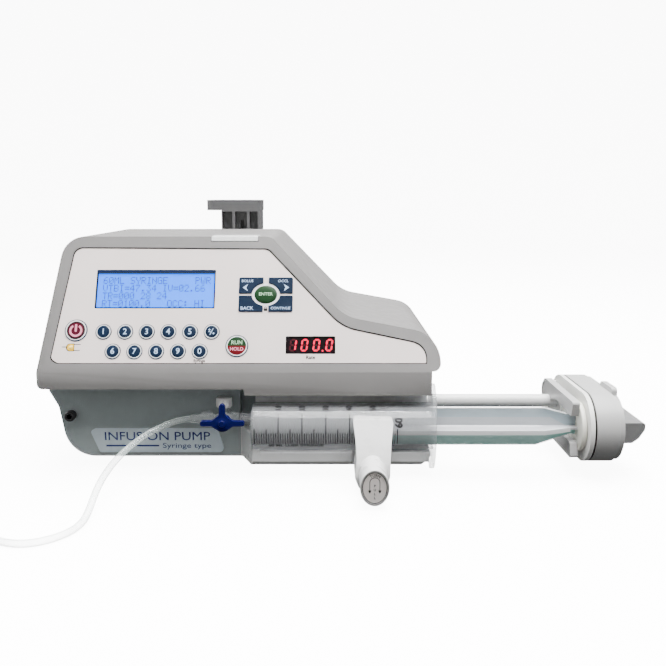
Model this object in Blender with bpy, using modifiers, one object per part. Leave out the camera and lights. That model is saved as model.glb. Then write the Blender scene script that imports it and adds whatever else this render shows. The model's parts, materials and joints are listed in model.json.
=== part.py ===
"""Syringe infusion pump with a loaded 60 ml syringe, a three-way tap and its line.

Drawn in millimetres on the pump's own axes: X to the right, Y to the back, Z up. Y = 0 is the front
of the syringe cradle and Z = 0 the underside of the lower housing. Everything hangs on one empty,
which moves the pump so that the world origin is at the bottom centre of its box.
"""

import math

import bmesh
import bpy
from mathutils import Matrix, Vector

MM = 0.001

# Driving dimensions, in millimetres.
CASE_LEFT, CASE_RIGHT = -186.3, 68.0
CASE_DEPTH, CASE_TOP = 160.0, 144.0
LIP_Z = 61.0
LEAN_DEG = 25.0
WALL = 3.0
GAP = 0.3
HOUSING_RIGHT, HOUSING_TOP = 62.3, 50.0
HOUSING_FRONT, HOUSING_REAR = 20.0, 160.0
CRADLE_LEFT, CRADLE_TOP, CRADLE_BACK = -56.0, 46.0, 30.7
FOOT_HEIGHT = 8.0
CLAMP_FRONT, RAIL_CLAMP_REAR = -54.0, 205.0
SYRINGE_Y, SYRINGE_Z = 10.0, 23.6
BARREL_RADIUS, BARREL_BORE = 15.6, 14.55
BARREL_LEFT, BARREL_RIGHT = -52.0, 65.2
PLUNGER_START, PLUNGER_DISC = 34.0, 156.5
LUER_Z = 28.4
TAP_X = -70.1
DRIVE_Y, DRIVE_Z = 57.0, 28.4
SCREW_Y, SCREW_Z = 76.0, 28.4
HEAD_LEFT, HEAD_RIGHT = 160.0, 178.3
HEAD_RADIUS, HEAD_BACK_Y = 22.3, 60.0
CLUTCH_RIGHT = 197.9
CLAMP_X, CLAMP_Z = 24.0, 5.3
TUBE_RADIUS = 2.05
COIL_CENTRE, COIL_MIDDLE = (-216.0, -112.0), 23.5

PUMP_SHIFT = Vector((
    -(CASE_LEFT + CLUTCH_RIGHT) / 2,
    -(CLAMP_FRONT + RAIL_CLAMP_REAR) / 2,
    FOOT_HEIGHT,
))

LEAN = math.radians(LEAN_DEG)
FRAMES = {
    "X": Matrix(((0, 0, 1, 0), (1, 0, 0, 0), (0, 1, 0, 0), (0, 0, 0, 1))),
    "Y": Matrix(((1, 0, 0, 0), (0, 0, -1, 0), (0, 1, 0, 0), (0, 0, 0, 1))),
    "Z": Matrix.Identity(4),
    "LEAN": Matrix((
        (1, 0, 0, 0),
        (0, math.sin(LEAN), -math.cos(LEAN), 0),
        (0, math.cos(LEAN), math.sin(LEAN), LIP_Z),
        (0, 0, 0, 1),
    )),
}

# Colour, roughness and metallic value of each finish.
FINISHES = {
    "case_grey": ((0.62, 0.60, 0.58), 0.5, 0.0),
    "panel_grey": ((0.58, 0.55, 0.53), 0.45, 0.0),
    "housing_grey": ((0.30, 0.33, 0.34), 0.5, 0.0),
    "cradle_grey": ((0.42, 0.43, 0.44), 0.5, 0.0),
    "white_plastic": ((0.85, 0.85, 0.85), 0.35, 0.0),
    "ivory_plastic": ((0.80, 0.79, 0.72), 0.4, 0.0),
    "clear_plastic": ((0.80, 0.85, 0.86), 0.1, 0.0),
    "key_blue": ((0.02, 0.06, 0.16), 0.35, 0.0),
    "key_red": ((0.45, 0.02, 0.05), 0.35, 0.0),
    "key_green": ((0.03, 0.22, 0.06), 0.35, 0.0),
    "tap_blue": ((0.02, 0.02, 0.30), 0.35, 0.0),
    "lcd_blue": ((0.25, 0.45, 0.85), 0.15, 0.0),
    "dark_window": ((0.02, 0.02, 0.03), 0.15, 0.0),
    "lamp_amber": ((0.80, 0.60, 0.10), 0.2, 0.0),
    "lamp_white": ((0.80, 0.80, 0.78), 0.2, 0.0),
    "label_silver": ((0.60, 0.66, 0.72), 0.4, 0.0),
    "black_rubber": ((0.03, 0.03, 0.03), 0.8, 0.0),
    "black_plastic": ((0.02, 0.02, 0.02), 0.4, 0.0),
    "clamp_grey": ((0.28, 0.28, 0.28), 0.5, 0.0),
    "steel": ((0.60, 0.60, 0.60), 0.3, 1.0),
    "board_green": ((0.03, 0.20, 0.08), 0.5, 0.0),
    "cell_wrap": ((0.08, 0.20, 0.45), 0.5, 0.0),
}

for old in list(bpy.data.objects):
    bpy.data.objects.remove(old, do_unlink=True)

PARTS = bpy.data.collections.new("infusion_pump")
CUTTERS = bpy.data.collections.new("cutters")
bpy.context.scene.collection.children.link(PARTS)
bpy.context.scene.collection.children.link(CUTTERS)
CUTTERS.hide_render = True

PUMP = bpy.data.objects.new("pump_axes", None)
PUMP.location = PUMP_SHIFT * MM
PARTS.objects.link(PUMP)


# Tools: each makes a closed mesh in pump coordinates.

def material(finish):
    found = bpy.data.materials.get(finish)
    if found:
        return found
    made = bpy.data.materials.new(finish)
    made.use_nodes = True
    colour, roughness, metallic = FINISHES[finish]
    shader = made.node_tree.nodes["Principled BSDF"]
    shader.inputs["Base Color"].default_value = (*colour, 1.0)
    shader.inputs["Roughness"].default_value = roughness
    shader.inputs["Metallic"].default_value = metallic
    return made


def add(name, shape, finish=None, pivot=(0, 0, 0)):
    """An object from a bmesh in pump millimetres, with its origin at the pivot. No finish: a cutter."""
    bmesh.ops.translate(shape, verts=shape.verts, vec=-Vector(pivot))
    bmesh.ops.scale(shape, verts=shape.verts, vec=(MM, MM, MM))
    mesh = bpy.data.meshes.new(name)
    shape.to_mesh(mesh)
    shape.free()
    obj = bpy.data.objects.new(name, mesh)
    obj.location = Vector(pivot) * MM
    obj.parent = PUMP
    if finish:
        mesh.materials.append(material(finish))
        mesh.shade_smooth()
        mesh.set_sharp_from_angle(angle=math.radians(35))
        PARTS.objects.link(obj)
    else:
        obj.hide_render = True
        obj.display_type = "WIRE"
        CUTTERS.objects.link(obj)
    return obj


def block(low, high):
    shape = bmesh.new()
    bmesh.ops.create_cube(shape, size=1)
    size = Vector(high) - Vector(low)
    bmesh.ops.scale(shape, verts=shape.verts, vec=size)
    bmesh.ops.translate(shape, verts=shape.verts, vec=Vector(low) + size / 2)
    return shape


def pillar(frame, centre, radius, low, high, segments=24, top_radius=None):
    """A cylinder or cone about the frame's third axis, from low to high along it."""
    shape = bmesh.new()
    bmesh.ops.create_cone(
        shape, cap_ends=True, segments=segments, radius1=radius,
        radius2=radius if top_radius is None else top_radius, depth=abs(high - low),
    )
    bmesh.ops.translate(shape, verts=shape.verts, vec=(*centre, (low + high) / 2))
    bmesh.ops.transform(shape, matrix=FRAMES[frame], verts=shape.verts)
    return shape


def together(*shapes):
    """Several closed meshes in one, for a cutter of separate holes."""
    whole = bmesh.new()
    for shape in shapes:
        spare = bpy.data.meshes.new("spare")
        shape.to_mesh(spare)
        shape.free()
        whole.from_mesh(spare)
        bpy.data.meshes.remove(spare)
    return whole


def rounded(corners, steps=5):
    """Corners as (x, y) or (x, y, radius), with each radius drawn as an arc."""
    points = []
    count = len(corners)
    for i, corner in enumerate(corners):
        here = Vector(corner[:2])
        radius = corner[2] if len(corner) > 2 else 0
        if not radius:
            points.append(tuple(here))
            continue
        back = (Vector(corners[i - 1][:2]) - here).normalized()
        ahead = (Vector(corners[(i + 1) % count][:2]) - here).normalized()
        half = back.angle(ahead) / 2
        centre = here + (back + ahead).normalized() * (radius / math.sin(half))
        start = here + back * (radius / math.tan(half)) - centre
        end = here + ahead * (radius / math.tan(half)) - centre
        turn = start.angle_signed(end)
        for step in range(steps + 1):
            angle = -turn * step / steps
            spun = Vector((
                start.x * math.cos(angle) - start.y * math.sin(angle),
                start.x * math.sin(angle) + start.y * math.cos(angle),
            ))
            points.append(tuple(centre + spun))
    return points


def slab(frame, outline, low, high):
    """A flat outline in the frame's first two axes, thick from low to high along its third."""
    curve = bpy.data.curves.new("outline", "CURVE")
    curve.dimensions = "2D"
    curve.fill_mode = "BOTH"
    curve.extrude = abs(high - low) / 2
    line = curve.splines.new("POLY")
    line.points.add(len(outline) - 1)
    for point, (x, y) in zip(line.points, outline):
        point.co = (x, y, 0, 1)
    line.use_cyclic_u = True
    holder = bpy.data.objects.new("outline", curve)
    CUTTERS.objects.link(holder)
    graph = bpy.context.evaluated_depsgraph_get()
    mesh = bpy.data.meshes.new_from_object(holder.evaluated_get(graph))
    bpy.data.objects.remove(holder)
    bpy.data.curves.remove(curve)
    shape = bmesh.new()
    shape.from_mesh(mesh)
    bpy.data.meshes.remove(mesh)
    bmesh.ops.remove_doubles(shape, verts=shape.verts, dist=0.001)
    bmesh.ops.dissolve_limit(shape, angle_limit=0.01, verts=shape.verts, edges=shape.edges)
    bmesh.ops.recalc_face_normals(shape, faces=shape.faces)
    bmesh.ops.translate(shape, verts=shape.verts, vec=(0, 0, (low + high) / 2))
    bmesh.ops.transform(shape, matrix=FRAMES[frame], verts=shape.verts)
    return shape


def turned(name, frame, centre, profile, finish=None, steps=24):
    """A profile of (radius, height), top to bottom, turned about the frame's third axis."""
    mesh = bpy.data.meshes.new(name)
    points = [(radius * MM, 0, height * MM) for radius, height in profile]
    edges = [(i, i + 1) for i in range(len(points) - 1)]
    if profile[0][0] > 0:
        edges.append((len(points) - 1, 0))
    mesh.from_pydata(points, edges, [])
    obj = bpy.data.objects.new(name, mesh)
    obj.parent = PUMP
    turn = FRAMES[frame].to_3x3()
    obj.location = (FRAMES[frame] @ Vector((*centre, 0))) * MM
    obj.rotation_euler = turn.to_euler()
    spin = obj.modifiers.new("turn", "SCREW")
    spin.axis = "Z"
    spin.steps = steps
    spin.render_steps = steps
    spin.use_merge_vertices = True
    spin.merge_threshold = 0.00001
    spin.use_smooth_shade = True
    if finish:
        mesh.materials.append(material(finish))
        PARTS.objects.link(obj)
    else:
        obj.hide_render = True
        obj.display_type = "WIRE"
        CUTTERS.objects.link(obj)
    return obj


def boolean(obj, other, operation="DIFFERENCE"):
    change = obj.modifiers.new(operation.lower(), "BOOLEAN")
    change.operation = operation
    change.object = other
    return obj


def cut(obj, *shapes):
    for number, shape in enumerate(shapes):
        boolean(obj, add(f"{obj.name}_cut{len(obj.modifiers)}_{number}", shape))
    return obj


def join(obj, *shapes):
    for number, shape in enumerate(shapes):
        boolean(obj, add(f"{obj.name}_join{len(obj.modifiers)}_{number}", shape), "UNION")
    return obj


def soften(obj, width, segments=1, angle=50):
    edge = obj.modifiers.new("soft_edges", "BEVEL")
    edge.width = width * MM
    edge.segments = segments
    edge.limit_method = "ANGLE"
    edge.angle_limit = math.radians(angle)
    return obj


def ellipse(centre, across, up, count=24):
    turns = [2 * math.pi * i / count for i in range(count)]
    return [(centre[0] + across * math.cos(a), centre[1] + up * math.sin(a)) for a in turns]


def tube(name, points, radius, finish, resolution=2):
    """A round cord along points, as a closed mesh with capped ends."""
    curve = bpy.data.curves.new(name, "CURVE")
    curve.dimensions = "3D"
    curve.bevel_depth = radius * MM
    curve.bevel_resolution = resolution
    curve.use_fill_caps = True
    line = curve.splines.new("POLY")
    line.points.add(len(points) - 1)
    for point, place in zip(line.points, points):
        point.co = (*(Vector(place) * MM), 1)
    curve.materials.append(material(finish))
    obj = bpy.data.objects.new(name, curve)
    obj.parent = PUMP
    PARTS.objects.link(obj)
    return obj


def smooth_path(route, spacing):
    """Points every `spacing` along a centripetal Catmull-Rom curve through the route's points."""
    places = [Vector(place) for place in route]
    ends = [places[0] * 2 - places[1], *places, places[-1] * 2 - places[-2]]
    fine = []
    for a, b, c, d in zip(ends, ends[1:], ends[2:], ends[3:]):
        knots = [0.0]
        for start, end in ((a, b), (b, c), (c, d)):
            knots.append(knots[-1] + math.sqrt((end - start).length))
        t0, t1, t2, t3 = knots
        for step in range(20):
            t = t1 + (t2 - t1) * step / 20
            ab = a.lerp(b, (t - t0) / (t1 - t0))
            bc = b.lerp(c, (t - t1) / (t2 - t1))
            cd = c.lerp(d, (t - t2) / (t3 - t2))
            abc = ab.lerp(bc, (t - t0) / (t2 - t0))
            bcd = bc.lerp(cd, (t - t1) / (t3 - t1))
            fine.append(abc.lerp(bcd, (t - t1) / (t2 - t1)))
    fine.append(places[-1])
    lengths = [0.0]
    for before, after in zip(fine, fine[1:]):
        lengths.append(lengths[-1] + (after - before).length)
    count = max(2, round(lengths[-1] / spacing))
    points, at = [], 0
    for i in range(count + 1):
        want = lengths[-1] * i / count
        while at < len(fine) - 2 and lengths[at + 1] < want:
            at += 1
        span = lengths[at + 1] - lengths[at]
        points.append(fine[at].lerp(fine[at + 1], (want - lengths[at]) / span))
    return points


# Casing: one outline in X and Z, extruded to the back, its front cut by the leaning panel plane.

CASE_OUTLINE = [
    (CASE_LEFT, 50.3, 3.5), (CASE_LEFT, LIP_Z), (-175.8, CASE_TOP, 14), (-40.6, CASE_TOP, 9),
    (7.4, 94.4, 28), (CASE_RIGHT, 83.5, 19.5), (CASE_RIGHT, LIP_Z + 0.7, 5), (HOUSING_RIGHT, LIP_Z + 0.7),
    (HOUSING_RIGHT, 46.3), (CRADLE_LEFT, 46.3), (CRADLE_LEFT, 50.3),
]
CASE_HOLLOW = [
    (-182.6, 54), (-172.9, CASE_TOP - WALL, 11), (-43.0, CASE_TOP - WALL, 6), (5.0, 91.0, 21),
    (CASE_RIGHT - WALL, 80.6, 12), (CASE_RIGHT - WALL, LIP_Z + 3), (CASE_RIGHT - 10, 54),
]
PANEL_OUTLINE = [
    (-174.0, 5.8, 4), (-178.6, 8.5, 3), (-169.0, 84.2, 6), (-42.0, 83.3, 6), (6.3, 30.3, 30),
    (59.3, 18.8, 11), (59.4, 5.8, 0.8),
]

LENS_SLOT = [(35.4, 141.6), (38.55, 140.12), (39.66, 142.5), (56, 142.5), (56, 147), (33, 147)]
LENS = [(37.0, 141.29), (38.45, 140.61), (39.47, 142.8), (55.7, 142.8), (55.7, 144.4), (38.45, 144.4)]


def lean_side(low, high):
    """Everything from low to high in front of the panel plane."""
    return slab("LEAN", [(-260, -60), (140, -60), (140, 150), (-260, 150)], low, high)


def shrunk(outline, centre, amount):
    """The outline with each corner moved towards the centre by amount in each direction."""
    moved = []
    for x, w, *radius in outline:
        x_in = x + math.copysign(amount, centre[0] - x)
        w_in = w + math.copysign(amount, centre[1] - w)
        moved.append((x_in, w_in, *radius))
    return moved


def make_casing():
    casing = add("upper_casing", slab("Y", rounded(CASE_OUTLINE), -CASE_DEPTH, 0), "case_grey")
    cut(casing, lean_side(0, 120))
    hollow = add("casing_hollow", slab("Y", rounded(CASE_HOLLOW), -CASE_DEPTH + WALL, -WALL))
    cut(hollow, lean_side(-WALL, 120))
    boolean(casing, hollow)
    floor_hole = [(-174, 26), (-62, 26), (-62, 38), (54, 38), (54, 150), (-174, 150)]
    cut(casing, slab("Z", floor_hole, 40, 60))
    cut(casing, slab("LEAN", rounded(PANEL_OUTLINE), -WALL - 2, 10))
    cut(casing, slab("X", LENS_SLOT, -80.0, -49.0))


# Front panel, its windows, lamps and keys, all on the leaning plane.

PANEL_FACE, PANEL_BACK = -0.5, -2.5
LCD_WINDOW = (-153.1, 42.4, -76.05, 68.6)
RATE_WINDOW = (-30.0, 12.4, 1.4, 23.9)
NUMBER_KEY_RADIUS, ROUND_KEY_RADIUS = 5.05, 7.2
KEY_PITCH = 13.76
KEY_ROWS = {
    "upper": (-146.0, 26.8, ("1", "2", "3", "4", "5", "point")),
    "lower": (-139.3, 13.95, ("6", "7", "8", "9", "0")),
}
POWER_KEY, RUN_KEY = (-163.5, 27.7), (-60.9, 17.5)
MAINS_LAMP = (-166.0, 16.6)
PAD_CENTRE, PAD_RING = (-43.3, 51.7), (9.2, 7.8)
PAD_OUTER, PAD_INNER = (17.3, 11.5), (1.8, 0.8)
ENTER_RADII = (7.2, 5.9)


def round_keys():
    """Name, place and radius of each round key."""
    keys = []
    for first_x, w, labels in KEY_ROWS.values():
        for i, label in enumerate(labels):
            keys.append((f"key_{label}", (first_x + KEY_PITCH * i, w), NUMBER_KEY_RADIUS))
    keys.append(("key_power", POWER_KEY, ROUND_KEY_RADIUS))
    keys.append(("key_run_hold", RUN_KEY, ROUND_KEY_RADIUS))
    return keys


def pad_outline(side_x, side_w, grow=0.0):
    """One corner pad of the arrow cluster: a rectangle with the ring's arc cut from its inner corner."""
    across, up = PAD_RING[0] - grow, PAD_RING[1] - grow
    near_x, near_w = PAD_INNER[0] - grow, PAD_INNER[1] - grow
    far_x, far_w = PAD_OUTER[0] + grow, PAD_OUTER[1] + grow
    first = math.asin(near_w / up)
    last = math.acos(near_x / across)
    points = [(near_x, far_w), (far_x - 1, far_w), (far_x, far_w - 1), (far_x, near_w)]
    for step in range(6):
        angle = first + (last - first) * step / 5
        points.append((across * math.cos(angle), up * math.sin(angle)))
    return [(PAD_CENTRE[0] + side_x * x, PAD_CENTRE[1] + side_w * w) for x, w in points]


PADS = {
    "key_left": (-1, 1), "key_right": (1, 1), "key_back": (-1, -1), "key_continue": (1, -1),
}


def lean_box(x0, w0, x1, w1, low, high):
    return slab("LEAN", [(x0, w0), (x1, w0), (x1, w1), (x0, w1)], low, high)


def on_lean(x, w):
    """Pump coordinates of a point on the panel plane."""
    return tuple(FRAMES["LEAN"] @ Vector((x, w, 0)))


def make_panel():
    outline = shrunk(PANEL_OUTLINE, (-60.0, 15.0), 0.35)
    panel = add("front_panel", slab("LEAN", rounded(outline), PANEL_BACK, PANEL_FACE), "panel_grey")
    holes = [pillar("LEAN", place, radius + GAP, -6, 2, 16) for _, place, radius in round_keys()]
    holes.append(pillar("LEAN", MAINS_LAMP, 1.6, -6, 2, 12))
    holes.append(slab("LEAN", ellipse(PAD_CENTRE, ENTER_RADII[0] + GAP, ENTER_RADII[1] + GAP), -6, 2))
    for sides in PADS.values():
        holes.append(slab("LEAN", pad_outline(*sides, grow=GAP), -6, 2))
    for x0, w0, x1, w1 in (LCD_WINDOW, RATE_WINDOW):
        holes.append(lean_box(x0 - GAP, w0 - GAP, x1 + GAP, w1 + GAP, -6, 2))
    cut(panel, together(*holes))
    add("lcd_window", lean_box(*LCD_WINDOW, PANEL_BACK, PANEL_FACE - 0.3), "lcd_blue")
    add("rate_window", lean_box(*RATE_WINDOW, PANEL_BACK, PANEL_FACE - 0.3), "dark_window")
    add("mains_lamp", pillar("LEAN", MAINS_LAMP, 1.3, -3.9, -0.2, 12), "lamp_amber")


def make_keys():
    finishes = {"key_power": "key_red", "key_run_hold": "key_green"}
    for name, place, radius in round_keys():
        profile = [
            (0, 0.1), (radius, 0.1), (radius, -2.9), (radius + 0.6, -2.9), (radius + 0.6, -3.5), (0, -3.5),
        ]
        turned(name, "LEAN", place, profile, finishes.get(name, "key_blue"), 16)
    for name, sides in PADS.items():
        add(name, slab("LEAN", pad_outline(*sides), -3.5, 0.1), "key_blue", on_lean(*PAD_CENTRE))
    enter = slab("LEAN", ellipse(PAD_CENTRE, *ENTER_RADII), -3.5, 0.3)
    add("key_enter", enter, "key_green", on_lean(*PAD_CENTRE))


def make_boards():
    outline = [(-160, 9), (-157, 76), (-48, 76), (-8, 32), (46, 17), (46, 9)]
    board = add("main_board", slab("LEAN", outline, -6.2, -4.6), "board_green")
    join(board, lean_box(-150, 46, -79, 65, -5.5, -2.8), lean_box(-27, 14, -2, 22, -5.5, -2.8))
    add("alarm_lens", slab("X", LENS, -79.7, -49.3), "lamp_white")


# Lower housing, a tray open at the top, and the syringe cradle in front of it.

HOUSING_OUTLINE = [
    (-186.0, HOUSING_TOP), (-186.0, 44.5, 1), (-180.3, 34.0, 8), (-178.3, 22.5), (-174.6, 0, 20.5), (HOUSING_RIGHT, 0, 2),
    (HOUSING_RIGHT, HOUSING_TOP - 4), (CRADLE_LEFT, HOUSING_TOP - 4), (CRADLE_LEFT, HOUSING_TOP),
]
HOUSING_HOLLOW = [
    (-176.5, 60), (-176.8, 43), (-170.6, 3.5, 17), (HOUSING_RIGHT - WALL, 3.5), (HOUSING_RIGHT - WALL, 60),
]
CLAMP_ROD_RADIUS = 2.3


def make_housing():
    housing = add(
        "lower_housing", slab("Y", rounded(HOUSING_OUTLINE), -HOUSING_REAR, -HOUSING_FRONT), "housing_grey"
    )
    front_bevel = slab(
        "X", [(HOUSING_FRONT - 1, -1), (HOUSING_FRONT + 3.6, -1), (HOUSING_FRONT - 1, 3.6)], -200, 80
    )
    cut(housing, front_bevel)
    cut(housing, block((CRADLE_LEFT - 5, 0, -5), (80, CRADLE_BACK + GAP, 60)))
    hollow = add("housing_hollow", slab("Y", rounded(HOUSING_HOLLOW), -HOUSING_REAR + WALL, -HOUSING_FRONT - WALL))
    cut(hollow, block((CRADLE_LEFT - 8, 0, -5), (80, CRADLE_BACK + WALL + 0.3, 70)))
    boolean(housing, hollow)
    cut(
        housing,
        pillar("X", (DRIVE_Y, DRIVE_Z), 5.2, 50, 70),
        pillar("Y", (CLAMP_X, CLAMP_Z), CLAMP_ROD_RADIUS + 0.5, -40, -25),
        pillar("Y", (CLAMP_X, CLAMP_Z), 4.0, -98, -35.5),
        block((-150, 150, 12), (-122, 170, 34)),
        pillar("Y", (-172, 28.4), 3.0, -30, -10),
    )
    label = [(-160.1, 17.4, 2), (-156.5, 19.4, 2), (-76, 19.4, 2), (-71.5, 2.9, 3), (-154.3, 2.9, 2)]
    add("label_plate", slab("Y", rounded(label, 3), -HOUSING_FRONT + GAP, -HOUSING_FRONT + 0.9), "label_silver")
    socket = [(3.3, -14.5), (3.3, -19.7), (2.6, -19.7), (2.6, -26), (1.6, -26), (1.6, -14.5)]
    turned("side_socket", "Y", (-172, 28.4), [(r, h) for r, h in socket], "black_plastic", 16)
    for name, x in (("foot_left", -145.0), ("foot_right", 44.0)):
        add(name, block((x - 8, 52, -FOOT_HEIGHT), (x + 8, 148, -GAP)), "black_rubber")
        soften(bpy.data.objects[name], 1.5)
    inlet = add("mains_inlet", block((-149.5, 152, 12.5), (-122.5, 162.5, 33.5)), "black_plastic")
    cut(inlet, block((-146.5, 156, 15.5), (-125.5, 166, 30.5)))


def make_cradle():
    reach = BARREL_RADIUS + GAP
    lip_top = 9.2
    first = math.acos((SYRINGE_Z - lip_top) / reach)
    arc = []
    for step in range(11):
        angle = -first + (first + math.pi / 2) * step / 10
        arc.append((SYRINGE_Y + reach * math.sin(angle), SYRINGE_Z - reach * math.cos(angle)))
    section = [
        (1.5, 0), (0, 1.5), (0, lip_top), *arc, (SYRINGE_Y + reach, CRADLE_TOP), (CRADLE_BACK, CRADLE_TOP),
        (CRADLE_BACK, 0),
    ]
    cradle = add("syringe_cradle", slab("X", section, -51.5, HOUSING_RIGHT), "cradle_grey")
    dam = [(-60, CRADLE_BACK), (-60, 21), (-51.5, 0), (-47, 0), (-47, CRADLE_BACK)]
    dam_shape = add("cradle_dam", slab("Z", dam, 0, 21))
    cut(dam_shape, pillar("X", (SYRINGE_Y, SYRINGE_Z), reach, -52.4, -40, 40))
    boolean(cradle, dam_shape, "UNION")
    cut(
        cradle,
        block((12.2, -1, 2.0), (36.5, 6, 12)),
        pillar("Y", (CLAMP_X, CLAMP_Z), CLAMP_ROD_RADIUS + 0.25, -40, 5),
    )


# Syringe: barrel, plunger rod and rubber seal.

def make_syringe():
    centre = (SYRINGE_Y, SYRINGE_Z)
    bore = BARREL_BORE
    barrel = add(
        "syringe_barrel", pillar("X", centre, BARREL_RADIUS, BARREL_LEFT + 1.2, BARREL_RIGHT, 32), "clear_plastic"
    )
    join(
        barrel,
        pillar("X", centre, BARREL_RADIUS - 1.4, BARREL_LEFT - 0.2, BARREL_LEFT + 3, 32),
        pillar("X", (SYRINGE_Y, LUER_Z), 3.9, BARREL_LEFT - 8.3, BARREL_LEFT + 1, 20),
        slab("X", ellipse(centre, 16.6, 28.0, 28), BARREL_RIGHT - 2.4, BARREL_RIGHT),
    )
    cut(
        barrel,
        pillar("X", centre, bore, BARREL_LEFT + 1.6, BARREL_RIGHT + 5, 32),
        pillar("X", (SYRINGE_Y, LUER_Z), 1.4, BARREL_LEFT - 12, BARREL_LEFT + 5, 12),
    )
    end = PLUNGER_DISC + 1
    upright = [
        (PLUNGER_START, -12), (131, -12), (152, -5), (end, -5), (end, 7), (151, 8), (136, 12),
        (PLUNGER_START, 12),
    ]
    level = [(PLUNGER_START, -12), (134, -12), (152, -6), (end, -6), (end, 6), (152, 6), (134, 12), (PLUNGER_START, 12)]
    rod = add(
        "plunger_rod",
        slab("Y", [(x, SYRINGE_Z + z) for x, z in upright], -SYRINGE_Y - 1, -SYRINGE_Y + 1),
        "clear_plastic",
    )
    join(
        rod,
        slab("Z", [(x, SYRINGE_Y + y) for x, y in level], SYRINGE_Z - 1, SYRINGE_Z + 1),
        pillar("X", centre, 13.2, PLUNGER_START, PLUNGER_START + 1.8, 28),
        pillar("X", centre, 16.2, PLUNGER_DISC, PLUNGER_DISC + 3.2, 36),
    )
    seal = [
        (0, 33.7), (12.5, 33.7), (14.25, 32.7), (14.25, 30.5), (12.6, 29.5), (12.6, 24.5), (14.25, 23.5),
        (14.25, 21.5), (13, 20.8), (0, 17.5),
    ]
    turned("plunger_seal", "X", centre, seal, "black_rubber", 28)


# Three-way tap, side cap, line connector, and the line itself.

LINE_START = (-92.3, SYRINGE_Y, LUER_Z)
TABLE_Z = -FOOT_HEIGHT + TUBE_RADIUS
LINE_ROUTE = [
    LINE_START, (-98.5, 9.6, 27.9), (-104.4, 8.3, 26.3), (-110.6, 5.3, 24.1), (-116.6, 0.8, 21.9),
    (-122.9, -6.0, 18.6), (-128.2, -14.5, 15.4), (-132.2, -24.5, 12.0), (-134.6, -35.0, 8.8),
    (-135.9, -46.0, 5.5), (-136.1, -57.0, 1.9), (-135.9, -67.0, -1.9), (-136.3, -76.5, TABLE_Z + 1.0),
    (-139.2, -86.5, TABLE_Z), (-145.0, -95.5, TABLE_Z), (-153.8, -102.0, TABLE_Z),
    (-164.3, -103.2, TABLE_Z), (-174.0, -99.4, TABLE_Z), (-182.7, -94.3, TABLE_Z),
    (-191.3, -89.3, TABLE_Z), (-200.0, -84.3, TABLE_Z),
]


def make_tap():
    body = add("stopcock_body", pillar("X", (SYRINGE_Y, LUER_Z), 3.3, -77, -60.6, 18), "clear_plastic")
    join(
        body,
        pillar("Y", (TAP_X, LUER_Z), 5.0, -16, -3.6, 20),
        pillar("Z", (TAP_X, SYRINGE_Y), 2.8, LUER_Z, 36, 16),
    )
    cap = pillar("Z", (TAP_X, SYRINGE_Y), 4.9, 36.3, 43, 20)
    soften(add("side_cap", cap, "white_plastic", (TAP_X, SYRINGE_Y, 36.3)), 0.6)
    pivot = (TAP_X, 0, LUER_Z)
    handle = add("stopcock_handle", pillar("Y", (TAP_X, LUER_Z), 5.4, -3.2, 2.0, 24), "tap_blue", pivot)
    wings = [(TAP_X - 14, LUER_Z - 1.6), (TAP_X + 14, LUER_Z - 1.6), (TAP_X + 14, LUER_Z + 1.6), (TAP_X - 14, LUER_Z + 1.6)]
    upper = [(TAP_X - 1.8, LUER_Z), (TAP_X + 1.8, LUER_Z), (TAP_X + 1.8, LUER_Z + 12.6), (TAP_X - 1.8, LUER_Z + 12.6)]
    join(
        handle,
        slab("Y", rounded([(x, z, 1.3) for x, z in wings], 3), -1.5, 2.2),
        slab("Y", rounded([(x, z, 1.3) for x, z in upper], 3), -1.5, 2.2),
    )
    connector = [(0, -77.3), (4.1, -77.3), (4.1, -85), (2.9, -86.5), (2.7, -92), (0, -92)]
    turned("luer_connector", "X", (SYRINGE_Y, LUER_Z), connector, "clear_plastic", 18)


def make_line():
    tube("line_tube", smooth_path(LINE_ROUTE, 4 * TUBE_RADIUS + 1), TUBE_RADIUS, "clear_plastic")
    low, high = -FOOT_HEIGHT + 0.02, -FOOT_HEIGHT + 4 * TUBE_RADIUS
    inner, outer = COIL_MIDDLE - 3 * TUBE_RADIUS, COIL_MIDDLE + 3 * TUBE_RADIUS
    ring = [
        (inner, high), (outer - 1, high), (outer, high - 1), (outer, low + 1), (outer - 1, low),
        (inner + 1, low), (inner, low + 1),
    ]
    turned("line_coil", "Z", COIL_CENTRE, ring, "clear_plastic", 32)
    centre = (COIL_CENTRE[0] - outer - 3.2, -FOOT_HEIGHT + 4.05)
    start = -COIL_CENTRE[1] + 2
    end = [(0, 20), (4.0, 20), (4.0, 10), (2.9, 9), (2.9, 0), (0, 0)]
    turned("line_end_connector", "Y", centre, [(r, start + h) for r, h in end], "white_plastic", 16)


# Pusher: drive tube, head, claws and clutch.

def stadium(radius, front_y, back_y, z, steps=8):
    points = []
    for centre_y, start in ((back_y, -90), (front_y, 90)):
        for step in range(steps + 1):
            angle = math.radians(start + 180 * step / steps)
            points.append((centre_y + radius * math.cos(angle), z + radius * math.sin(angle)))
    return points


CLAW_PIVOT_Y, CLAW_PIVOT_OFFSET = 70.0, 15.0
CLAW_LEFT, CLAW_RIGHT = 151.5, 156.2
CLAMP_ARM_REAR = -6.4


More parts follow.
